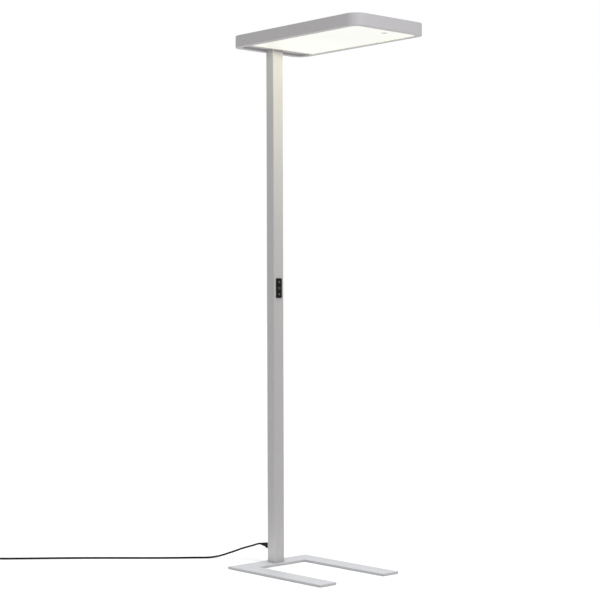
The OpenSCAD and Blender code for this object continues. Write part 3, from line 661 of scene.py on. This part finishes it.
def smoothed(points, steps):
    """Smooth curve through the points that never sinks into the floor"""
    padded = [points[0], *points, points[-1]]
    line = []
    for a, b, c, d in zip(padded, padded[1:], padded[2:], padded[3:]):
        for t in (k / steps for k in range(steps)):
            point = (b + 0.5 * (c - a) * t + 0.5 * (2 * a - 5 * b + 4 * c - d) * t ** 2
                     + 0.5 * (3 * b - a - 3 * c + d) * t ** 3)
            point.z = max(point.z, LEAD_FLOOR)
            line.append(point)
    return line + [points[-1]]


def coil_point(turn, radius, height):
    angle = math.radians(COIL_START + 360 * turn)
    return COIL_CENTRE + Vector((radius * math.cos(angle), radius * math.sin(angle), height))


def coil_radius(turn):
    """The lower layer winds inwards and the upper one outwards again"""
    return COIL_INNER + COIL_PITCH * abs(turn - COIL_TURNS / 2)


def lead_line():
    """The lead's centreline from its strain relief to the plug"""
    exit_point = Vector((RELIEF_LOW.x + 2, 0, INLET_HEIGHT))
    start = math.radians(COIL_START)
    heading = Vector((-math.sin(start), math.cos(start), 0))
    entry = coil_point(0, COIL_OUTER, COIL_LOW) - LEAD_D * heading
    route = [Vector(point) for point in LEAD_DROP]
    route += [Vector((x, y, LEAD_FLOOR)) for x, y in LEAD_RUN]
    # Half a turn lifts the lead from the lower layer to the upper one
    coil, steps, climb = [], 378, 0.5
    for turn in (COIL_TURNS * i / steps for i in range(steps + 1)):
        rise = COIL_PITCH * smooth_step((turn - COIL_TURNS / 2) / climb + 0.5)
        coil.append(coil_point(turn, coil_radius(turn), COIL_LOW + rise))
    # The tail rises to the plug: run from the coil, and share of the rise
    end = coil_point(COIL_TURNS, COIL_OUTER, COIL_LOW + COIL_PITCH)
    rise = Vector((0, 0, PLUG_HEIGHT - end.z))
    tail = [
        (10, 0), (14.5, 0.1), (19, 0.3), (23, 0.52), (27, 0.75), (32, 0.94), (37, 1), (TAIL + 3, 1),
    ]
    tail = [end + run * PLUG_DIRECTION + part * rise for run, part in tail]
    return [exit_point] + smoothed(route + [entry], 3) + coil + tail


class OFFICELAMP_OT_mains_lead(Operator):
    """Makes the mains lead, with its coil"""

    bl_idname = "office_lamp.mains_lead"
    bl_label = "Mains lead"

    def execute(self, context):
        points = lead_line()
        curve = bpy.data.curves.new("mains_lead", "CURVE")
        curve.dimensions = "3D"
        spline = curve.splines.new("POLY")
        spline.points.add(len(points) - 1)
        for knot, point in zip(spline.points, points):
            knot.co = (*(point * MM), 1)
        spline.use_smooth = True
        curve.bevel_depth = context.scene.office_lamp.sizes.lead_d / 2
        curve.bevel_resolution = 5
        curve.use_fill_caps = True
        curve.materials.append(finish_of("black_cable_sheath"))
        lead = new_object("mains_lead", curve)
        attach(lead, LAMP)
        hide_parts("mains_cord", "cord_coil")
        return {"FINISHED"}


class OFFICELAMP_OT_lead_tie(Operator):
    """Makes the hook-and-loop strap round the coil"""

    bl_idname = "office_lamp.lead_tie"
    bl_label = "Lead tie"

    def execute(self, context):
        outward = Vector((math.cos(TIE_ANGLE), math.sin(TIE_ANGLE), 0))
        along = Vector((-outward.y, outward.x, 0))

        def place(radial, height, side):
            return COIL_CENTRE + outward * radial + along * side + Vector((0, 0, height))

        wall, half, corner = TIE_THICKNESS, TIE_WIDTH / 2, 3
        low = COIL_LOW - LEAD_D / 2 - 0.1 - wall
        high = COIL_LOW + COIL_PITCH + LEAD_D / 2 + 0.3 + wall
        inner = coil_radius(COIL_TURNS / 2 - 0.5) - LEAD_D / 2 - 1.2 - wall
        outer = COIL_OUTER + LEAD_D / 2 + 0.2
        strip = [
            (0.1, -half), (wall - 0.1, -half), (wall, -half + 0.1), (wall, half - 0.1),
            (wall - 0.1, half), (0.1, half), (0, half - 0.1), (0, -half + 0.1),
        ]
        bm = swept_mesh(rectangle(inner, outer + wall, low, high, corner, 10), strip, place)
        # The loose end lies on top of the strap
        top, half = high + 0.9, half - 0.4
        overlap = [(top, -half), (high, -half), (high, half), (top, half)]
        levels = [(overlap, outer - run) for run in (2, 7, 13)]
        add_bar(bm, levels, lambda height, side, radial: place(radial, height, side))
        strap = add_piece("lead_tie", bm, "hook_and_loop_strap")
        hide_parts("cord_tie")
        return {"FINISHED"}


def grooved_sleeve(length, tip, root, rows, grooves):
    """Profile of a tapered sleeve; its grooves are given as a number, a width and a depth"""
    count, width, depth = grooves
    pitch = length / (count + 1)
    profile = []
    for distance in rows:
        nearest = round(distance / pitch) * pitch
        cut = 0
        if 0 < nearest < length - pitch / 2:
            cut = depth * smooth_step((width / 2 + 0.35 - abs(distance - nearest)) / 0.5)
        profile.append((distance, tip + (root - tip) * distance / length - cut))
    return profile


class OFFICELAMP_OT_mains_plug(Operator):
    """Makes the plug on the lead's far end and finishes its pins"""

    bl_idname = "office_lamp.mains_plug"
    bl_label = "Mains plug"

    def execute(self, context):
        sleeve, shoulder, body = 18, 9, 20
        tip, root, collar, wide = 4.5, 6.5, 10.4, 19
        rows = [k / 4 for k in range(2, 4 * sleeve - 2)]
        profile = [(0, 0), (0, tip - 0.4), (0.3, tip - 0.1)]
        profile += grooved_sleeve(sleeve, tip, root, rows, (4, 1.3, 0.7))
        face, end = sleeve + shoulder, sleeve + shoulder + body
        corners = [(sleeve, root - 0.1), (sleeve, collar), (face, wide), (end, wide), (end, 0)]
        housing = [point[:2] for point in rounded_outline(corners, [0, 1.5, 4, 1.4, 0], 4)]
        profile.append(housing[0])
        for first, second in zip(housing[1:], housing[2:]):
            # Only the body is cut into rows, for its ribs and channels
            parts = 14 if first[0] >= face - 2 and second[0] - first[0] > 5 else 1
            profile += [Vector(first).lerp(Vector(second), k / parts) for k in range(parts)]
        profile.append(housing[-1])

        ribs, rib_depth = 36, 0.3
        channel_half, channel_depth = 5, 2.4

        def grip(distance, radius, angle):
            """Fine ribs round the body and a channel along its middle"""
            if radius <= wide - 4:
                return radius
            ribbed = smooth_step((distance - face - 2) / 1.5)
            ribbed *= smooth_step((end - 2.5 - distance) / 1.5)
            channel = smooth_step((distance - face - 3.5) / 0.8)
            channel *= smooth_step((channel_half - abs(math.sin(angle)) * radius) / 1.2)
            rib = ribbed * (1 + math.cos(ribs * angle)) / 2
            return radius - rib_depth * rib - channel_depth * channel

        origin = coil_point(COIL_TURNS, COIL_OUTER, PLUG_HEIGHT) + TAIL * PLUG_DIRECTION
        bm = turned_mesh(profile, origin, PLUG_DIRECTION, (0, 0, -1), 180, grip)
        plug = add_piece("mains_plug_body", bm, "black_grained_plastic")
        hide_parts("mains_plug")
        set_finish("nickel_plated_brass", "plug_pins")
        return {"FINISHED"}


class OFFICELAMP_OT_connector(Operator):
    """Makes the connector at the foot of the post and its strain relief"""

    bl_idname = "office_lamp.connector"
    bl_label = "Connector and strain relief"

    def execute(self, context):
        back, front = CONNECTOR_LOW.x, POST_LOW.x - 2.2
        half_y, half_z, corner, ease = 13.5, 9.75, 4, 1.0
        taper_run, taper = 6, 2.5
        grooves, pitch, groove_half, groove_depth = 4, 4, 1.3, 0.7
        steps = 90
        levels = []
        for k in range(steps + 1):
            x = back + (front - back) * k / steps
            over = max(0.0, ease - min(x - back, front - x))
            shrink = ease - math.sqrt(max(0.0, ease ** 2 - over ** 2))
            if k in (0, steps):
                shrink += 0.1
            narrow = taper * smooth_step((back + taper_run - x) / taper_run)
            cuts = [(x - back - taper_run - pitch * i) / groove_half for i in range(grooves)]
            cut = groove_depth * sum(max(0.0, 1 - c ** 2) for c in cuts)
            y, z = half_y - shrink - narrow - cut, half_z - shrink - 0.1 * narrow
            levels.append((rectangle(-y, y, -z, z, corner, 8), x))
        bm = bmesh.new()
        add_bar(bm, levels, lambda y, z, x: Vector((x, y, INLET_HEIGHT + z)))
        housing = add_piece(
            "lead_connector_body", bm, "black_grained_plastic", smooth=50)
        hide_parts("lead_connector")

        length = RELIEF_HIGH.x - RELIEF_LOW.x
        root, tip = (RELIEF_HIGH.z - RELIEF_LOW.z) / 2, LEAD_D / 2 + 1
        rows = [length * k / 170 for k in range(2, 169)]
        profile = [(0, 0), (0, root - 0.4), (0.2, root - 0.1)]
        profile += grooved_sleeve(length, root, tip, rows, (5, 1.6, 1.1))
        profile += [(length - 0.1, tip - 0.1), (length, tip - 0.5), (length, 0)]
        origin = (RELIEF_HIGH.x, 0, INLET_HEIGHT)
        bm = turned_mesh(profile, origin, (-1, 0, 0), (0, 0, 1), 56)
        relief = add_piece("tapered_strain_relief", bm, "black_grained_plastic")
        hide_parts("strain_relief")
        set_finish("black_grained_plastic", "power_inlet")
        return {"FINISHED"}


# The base, the post and its controls


class OFFICELAMP_OT_base(Operator):
    """Makes the base plate and finishes its pads and screws"""

    bl_idname = "office_lamp.base"
    bl_label = "Base"

    def execute(self, context):
        x0, y0, low = BASE_LOW
        x1, y1, high = BASE_HIGH
        bar, arm = x0 + BASE_BAR, y1 - BASE_ARM
        corners = [
            (x0, y0), (x1, y0), (x1, -arm), (bar, -arm), (bar, arm), (x1, arm), (x1, y1), (x0, y1),
        ]
        holes = [
            as_hole(circle(x, y, BASE_SCREW_HOLE, 40))
            for x in (-BASE_SCREW_X, BASE_SCREW_X) for y in (-BASE_SCREW_Y, BASE_SCREW_Y)
        ]
        edge = min(context.scene.office_lamp.sizes.edge / MM, 0.7)
        bm = plate_mesh([rounded_outline(corners, BASE_CORNER)] + holes, low, high, edge)
        base = add_piece("base_plate_coated", bm, "light_powder_coat")
        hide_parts("base_plate")
        set_finish("black_rubber", "foot_pads")
        set_finish("zinc_plated_steel", "base_screws")
        return {"FINISHED"}


class OFFICELAMP_OT_post(Operator):
    """Finishes the post and the cables inside it"""

    bl_idname = "office_lamp.post"
    bl_label = "Post"

    def execute(self, context):
        set_finish("silver_powder_coat", "post_tube")
        set_finish("white_cable_sheath", "riser_cable")
        set_finish("black_cable_sheath", "control_cable")
        return {"FINISHED"}


class OFFICELAMP_OT_control_panel(Operator):
    """Makes the control panel's bezel, with its shell, and finishes its circuit board"""

    bl_idname = "office_lamp.control_panel"
    bl_label = "Control panel"

    def execute(self, context):
        def inside(inset, radius, end=0):
            """The panel's outline, moved in all round and once more at both ends"""
            y = (BEZEL_HIGH.y - BEZEL_LOW.y) / 2 - inset
            z = (BEZEL_HIGH.z - BEZEL_LOW.z) / 2 - inset - end
            return rectangle(-y, y, PANEL_HEIGHT - z, PANEL_HEIGHT + z, radius, 8)

        edge = context.scene.office_lamp.sizes.panel_edge / MM
        rear, low, high = BEZEL_LOW.x, POST_HIGH.x, BEZEL_HIGH.x
        seat, floor = rear + BOARD_SEAT, high - PANEL_WALL
        shell = inside(SHELL_INSET, 1)
        hollow = inside(SHELL_INSET + SHELL_WALL, 0.5)
        ledges = inside(SHELL_INSET + SHELL_WALL, 0.5, BOARD_LEDGE)
        holes = [
            as_hole(circle(0, PANEL_HEIGHT + row * BUTTON_PITCH, BUTTON_HOLE, 56))
            for row in (-1, 0, 1)
        ]
        bm = bmesh.new()
        bottom, mouth = add_wall(
            bm, [(ledges, floor), (ledges, seat + 0.3), (hollow, seat), (hollow, rear)],
            facing_front)
        rim, root = add_wall(bm, [(shell, rear), (shell, low)], facing_front)
        back, front = add_wall(
            bm, eased_wall(inside(0, PANEL_CORNER), low, high, edge), facing_front)
        inner, outer = zip(*(
            add_wall(bm, eased_wall(hole, floor, high, edge), facing_front) for hole in holes))
        for rings in ((bottom, *inner), (mouth, rim), (root, back), (front, *outer)):
            fill(bm, *rings)
        bezel = add_piece("panel_bezel", bm, "black_panel_plastic")
        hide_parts("control_bezel")
        set_finish("green_circuit_board", "control_board")
        return {"FINISHED"}


class OFFICELAMP_OT_buttons(Operator):
    """Makes the three buttons, each with its raised mark"""

    bl_idname = "office_lamp.buttons"
    bl_label = "Buttons"

    def execute(self, context):
        stem, flange, cap = 2, 7.7, 6.5
        dish_radius, dish_depth = 39, 0.5
        for row, body in ((1, "brighter"), (0, "power"), (-1, "dimmer")):
            low, high = cad_size("button_" + body)
            foot, face = low.x, high.x
            back, front = face - 4, face - 2.8
            profile = [
                (foot, 0), (foot, stem - 0.3), (foot + 0.3, stem), (back - 0.05, stem),
                (back, stem + 0.05), (back, flange - 0.1), (back + 0.1, flange),
                (front - 0.1, flange), (front, flange - 0.1), (front, cap), (face - 0.75, cap),
                (face - 0.4, cap - 0.03), (face - 0.15, cap - 0.15), (face - 0.02, cap - 0.4),
            ]
            dish = face - dish_depth + dish_radius
            profile += [
                (dish - math.sqrt(dish_radius ** 2 - r ** 2), r) for r in (5.7, 5, 4, 3, 2, 1, 0)
            ]
            height = PANEL_HEIGHT + row * BUTTON_PITCH
            bm = turned_mesh(profile, (0, 0, height), (1, 0, 0), (0, 0, 1))
            finish = "dark_grey_button_plastic"
            piece = add_piece("button_cap_" + body, bm, finish, body)
            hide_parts("button_" + body)

            # An arrow up or down, or a ring for on and off
            mark = [circle(0, 0, 4.2), as_hole(circle(0, 0, 3.1))]
            if row:
                arrow = [(-3.7, -2.9 * row), (3.7, -2.9 * row), (0, 4.3 * row)][::row]
                mark = [rounded_outline(arrow, 0.35, 4)]
            bm = plate_mesh(
                mark, face - 0.6, face - 0.05, 0.12, lambda a, b, out: Vector((out, a, b + height)))
            add_piece("button_mark_" + body, bm, "light_grey_mark", body)
        return {"FINISHED"}


# The head


def head_outline(inset, steps):
    return rectangle(
        HEAD_LOW.x + inset, HEAD_HIGH.x - inset, HEAD_LOW.y + inset, HEAD_HIGH.y - inset,
        HEAD_CORNER - inset, steps)


class OFFICELAMP_OT_head_frame(Operator):
    """Makes the head's frame: wall, lip, shelf and rib in one profile"""

    bl_idname = "office_lamp.head_frame"
    bl_label = "Head frame"

    def execute(self, context):
        edge = context.scene.office_lamp.sizes.edge / MM
        low, high = HEAD_LOW.z, HEAD_HIGH.z
        lip, shelf, rib = low + LIP_THICKNESS, CARRIER_LOW.z, COVER_LOW.z
        under_shelf, under_rib = shelf - SHELF_THICKNESS, rib - SHELF_THICKNESS
        corners = [
            (0, low), (LIP_WIDTH, low), (LIP_WIDTH, lip), (HEAD_WALL, lip),
            (HEAD_WALL, under_shelf), (SHELF_WIDTH, under_shelf),
            (SHELF_WIDTH, shelf), (HEAD_WALL, shelf),
            (HEAD_WALL, under_rib), (RIB_WIDTH, under_rib), (RIB_WIDTH, rib), (HEAD_WALL, rib),
            (HEAD_WALL, high), (0, high),
        ]
        radii = [edge, 0.5, 0.4, 0.6, 0.6, 0.3, 0.3, 0.6, 0.6, 0.3, 0.3, 0.3, 0.3, edge]
        profile = [point[:2] for point in rounded_outline(corners, radii, 4)]
        bm = swept_mesh(head_outline(0, 24), profile)
        head = add_piece("head_frame_coated", bm, "silver_powder_coat")
        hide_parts("head_frame")
        return {"FINISHED"}


class OFFICELAMP_OT_underside(Operator):
    """Finishes the diffuser, the rear cover and the rail between them"""

    bl_idname = "office_lamp.underside"
    bl_label = "Diffuser and rear cover"

    def execute(self, context):
        set_finish("lit_opal_acrylic", "diffuser")
        set_finish("silver_powder_coat", "divider_rail", "rear_cover")
        return {"FINISHED"}


class OFFICELAMP_OT_sensor(Operator):
    """Makes the sensor's rim and lens under the diffuser"""

    bl_idname = "office_lamp.sensor"
    bl_label = "Sensor"

    def execute(self, context):
        centre = (SENSOR_LOW + SENSOR_HIGH) / 2
        origin = (centre.x, centre.y, HEAD_LOW.z + LIP_THICKNESS)
        reach = (SENSOR_HIGH.x - SENSOR_LOW.x) / 2
        neck, neck_length = 10, 6
        profile = [
            (-neck_length, 0), (-neck_length, neck), (0, neck), (0, reach - 0.1), (0.15, reach),
            (0.7, reach - 0.35), (1.05, reach - 0.9), (1.2, reach - 1.6),
            (1.2, 9.4), (1.1, 9), (0.8, 8.8), (0.4, 8.6), (0.4, 0),
        ]
        bm = turned_mesh(profile, origin, (0, 0, -1), (1, 0, 0))
        rim = add_piece("sensor_rim", bm, "pale_sensor_plastic")
        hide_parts("sensor_window")

        lens, bulge, steps = 8.3, 1.6, 12
        turns = [math.pi / 2 * k / steps for k in range(steps, 0, -1)]
        dome = [(0.3, 0), (0.3, lens + 0.1)]
        dome += [(0.5 + bulge * math.cos(t), lens * math.sin(t)) for t in turns]
        dome.append((0.5 + bulge, 0))
        bm = turned_mesh(dome, origin, (0, 0, -1), (1, 0, 0))
        add_piece("sensor_lens", bm, "milky_lens")
        return {"FINISHED"}


class OFFICELAMP_OT_top_cover(Operator):
    """Makes the top cover with its window and finishes its pane and screws"""

    bl_idname = "office_lamp.top_cover"
    bl_label = "Top cover"

    def execute(self, context):
        rim = head_outline(COVER_LOW.x - HEAD_LOW.x, 20)
        window = as_hole(rectangle(
            LID_LOW.x + PANE_OVERLAP, LID_HIGH.x - PANE_OVERLAP,
            LID_LOW.y + PANE_OVERLAP, LID_HIGH.y - PANE_OVERLAP, WINDOW_CORNER, 12))
        run, inset = COVER_SCREW_RUN, COVER_SCREW_INSET
        x0, x1 = HEAD_LOW.x, HEAD_HIGH.x
        side, quarter = HEAD_HIGH.y - inset, (HEAD_HIGH.y - HEAD_LOW.y) / 4
        places = [(x, y) for x in (x0 + run, (x0 + x1) / 2, x1 - run) for y in (-side, side)]
        places += [(x, y) for x in (x0 + inset, x1 - inset) for y in (-quarter, quarter)]
        holes = [as_hole(circle(x, y, COVER_SCREW_HOLE, 32)) for x, y in places]
        bm = plate_mesh([rim, window] + holes, COVER_LOW.z, COVER_HIGH.z, 0.3)
        cover = add_piece("top_cover_coated", bm, "silver_powder_coat")
        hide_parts("top_cover")
        set_finish("prismatic_clear_acrylic", "uplight_cover")
        set_finish("zinc_plated_steel", "cover_screws")
        return {"FINISHED"}


class OFFICELAMP_OT_inner_parts(Operator):
    """Finishes the pieces inside the head"""

    bl_idname = "office_lamp.inner_parts"
    bl_label = "Inner parts"

    def execute(self, context):
        set_finish("zinc_plated_steel", "head_bracket", "bracket_bolts")
        set_finish("zinc_plated_steel", "carrier_screws", "shelf_screws")
        set_finish("rolled_aluminium", "carrier_plate")
        set_finish("white_moulded_plastic", "light_box", "led_driver", "terminal_block")
        set_finish("white_cable_sheath", "driver_link", "led_lead")
        set_finish("down_strip_board", "down_led_strips")
        set_finish("up_strip_board", "up_led_strips")
        return {"FINISHED"}


# The stage


class OFFICELAMP_OT_camera(Operator):
    """Sets the camera where the photograph was taken from"""

    bl_idname = "office_lamp.camera"
    bl_label = "Camera"

    def execute(self, context):
        stage = context.scene.office_lamp.stage
        quarter = math.pi / 2
        turn = Matrix.Rotation(stage.camera_yaw - quarter, 4, "Z")
        turn @= Matrix.Rotation(stage.camera_pitch + quarter, 4, "X")
        turn @= Matrix.Rotation(stage.camera_roll, 4, "Z")
        data = bpy.data.cameras.new("camera")
        data.lens = stage.lens
        data.sensor_width = 36
        data.clip_end = 200
        camera = new_object("camera", data)
        camera.matrix_world = Matrix.Translation(stage.camera_place) @ turn
        context.scene.camera = camera
        return {"FINISHED"}


def new_light(name, kind, side, strength):
    """Adds a light that shines from the given side"""
    light = bpy.data.lights.new(name, kind)
    light.energy = strength
    lamp = new_object(name, light)
    lamp.rotation_euler = Vector(side).to_track_quat("Z", "Y").to_euler()
    return lamp


def shaders_of(owner):
    """The emptied node tree of a material or a world"""
    owner.use_nodes = True
    owner.node_tree.nodes.clear()
    return owner.node_tree


def show(tree, output, lighting, seen):
    """Lets one shader light the lamp, and camera, mirror and glass rays see the other"""
    path = add(tree, "ShaderNodeLightPath", {}).outputs
    direct = combined(tree, "MAXIMUM", path["Is Camera Ray"], path["Is Glossy Ray"])
    direct = combined(tree, "MAXIMUM", direct, path["Is Transmission Ray"])
    inputs = {0: direct, 1: lighting.outputs[0], 2: seen.outputs[0]}
    mixed = add(tree, "ShaderNodeMixShader", inputs)
    add(tree, output, {"Surface": mixed.outputs[0]})


class OFFICELAMP_OT_stage(Operator):
    """Makes the pale floor, the room's light and the lamps"""

    bl_idname = "office_lamp.stage"
    bl_label = "Floor and lights"

    def execute(self, context):
        scene = context.scene
        stage = scene.office_lamp.stage
        scene.view_settings.view_transform = "Standard"
        white = {"Color": (1, 1, 1, 1)}

        half = stage.floor_size / 2
        corners = [(-half, -half, 0), (half, -half, 0), (half, half, 0), (-half, half, 0)]
        mesh = bpy.data.meshes.new("floor")
        mesh.from_pydata(corners, [], [(0, 1, 2, 3)])
        floor = new_object("floor", mesh)
        floor.location.z = -0.0003
        material = bpy.data.materials.new("pale_floor")
        tree = shaders_of(material)
        matt = add(tree, "ShaderNodeBsdfDiffuse", {"Color": (0.9, 0.9, 0.9, 1)})
        paler = add(tree, "ShaderNodeBsdfDiffuse", white)
        lift = add(tree, "ShaderNodeEmission", {**white, "Strength": 0.04})
        seen = add(tree, "ShaderNodeAddShader", {0: paler.outputs[0], 1: lift.outputs[0]})
        show(tree, "ShaderNodeOutputMaterial", matt, seen)
        mesh.materials.append(material)

        world = bpy.data.worlds.new("white_room")
        scene.world = world
        tree = shaders_of(world)
        light = add(tree, "ShaderNodeBackground", {**white, "Strength": stage.sky})
        seen = add(tree, "ShaderNodeBackground", {**white, "Strength": 1.0})
        show(tree, "ShaderNodeOutputWorld", light, seen)

        top = new_light("top_light", "SUN", (0.05, -0.03, 1), stage.top)
        key = new_light("key_light", "SUN", (0.64, -0.37, 0.66), stage.key)
        top.data.angle = key.data.angle = math.radians(60)

        post = POST_HIGH.x
        free = HEAD_HIGH.x - LIP_WIDTH
        reach = free - post
        width = HEAD_HIGH.y - HEAD_LOW.y - 2 * LIP_WIDTH
        beside = (POST_LOW.y + HEAD_LOW.y + LIP_WIDTH) / 2
        below = HEAD_LOW.z + LIP_THICKNESS - 0.4
        foot = BASE_HIGH.z + 1
        up, down = (0, 0, 1), (0, 0, -1)
        own = stage.light_colour
        lamps = {
            # Place, side that it shines from, size, power in watts and colour
            "front_light": (
                (1600, -300, 2200), (1.6, -0.3, 0.6), (1000, 1000), stage.front, (0.95, 0.94, 1)),
            "head_light_near": (
                (post + reach / 2 + 11, 0, below), up, (reach - 22, width), stage.light_near, own),
            "head_light_far": (
                (free - reach / 4, 0, below), up, (reach / 2, width), stage.light_far, own),
            "head_light_side": ((post + 140, beside, below), up, (280, 125), 0.3, (1, 1, 0.7)),
            "foot_light_front": ((post + 105, 0, foot), down, (150, 300), 0.075, (1, 1, 1)),
            "foot_light_side": ((20, POST_LOW.y - 95, foot), down, (180, 150), 0.115, (1, 1, 1)),
        }
        for name, (place, side, size, power, colour) in lamps.items():
            lamp = new_light(name, "AREA", side, power)
            lamp.location = Vector(place) * MM
            lamp.data.shape = "RECTANGLE"
            lamp.data.size, lamp.data.size_y = (length * MM for length in size)
            lamp.data.color = colour
            lamp.visible_camera = lamp.visible_glossy = lamp.visible_transmission = False
        return {"FINISHED"}


operators = (
    OFFICELAMP_OT_camera,
    OFFICELAMP_OT_lead_tie,
    OFFICELAMP_OT_mains_plug,
    OFFICELAMP_OT_mains_lead,
    OFFICELAMP_OT_connector,
    OFFICELAMP_OT_base,
    OFFICELAMP_OT_post,
    OFFICELAMP_OT_control_panel,
    OFFICELAMP_OT_buttons,
    OFFICELAMP_OT_head_frame,
    OFFICELAMP_OT_underside,
    OFFICELAMP_OT_sensor,
    OFFICELAMP_OT_top_cover,
    OFFICELAMP_OT_inner_parts,
    OFFICELAMP_OT_stage,
)


class OFFICELAMP_PT_parts(Panel):
    """Lists the lamp's settings and the operators that make its pieces"""

    bl_idname = "OFFICELAMP_PT_parts"
    bl_label = "Office floor lamp"
    bl_space_type = "VIEW_3D"
    bl_region_type = "UI"
    bl_category = "Lamp"

    def draw(self, context):
        settings = context.scene.office_lamp
        for group in (settings.finishes, settings.sizes, settings.stage):
            box = self.layout.box()
            for name in group.__annotations__:
                box.prop(group, name)
        for operator in operators:
            self.layout.operator(operator.bl_idname)


classes = (LampFinishes, LampSizes, LampStage, LampSettings, *operators, OFFICELAMP_PT_parts)


def register():
    for cls in classes:
        bpy.utils.register_class(cls)
    bpy.types.Scene.office_lamp = PointerProperty(type=LampSettings)


def unregister():
    del bpy.types.Scene.office_lamp
    for cls in reversed(classes):
        bpy.utils.unregister_class(cls)


def main():
    register()
    for operator in operators:
        group, name = operator.bl_idname.split(".")
        getattr(getattr(bpy.ops, group), name)()


if __name__ == "__main__":
    main()
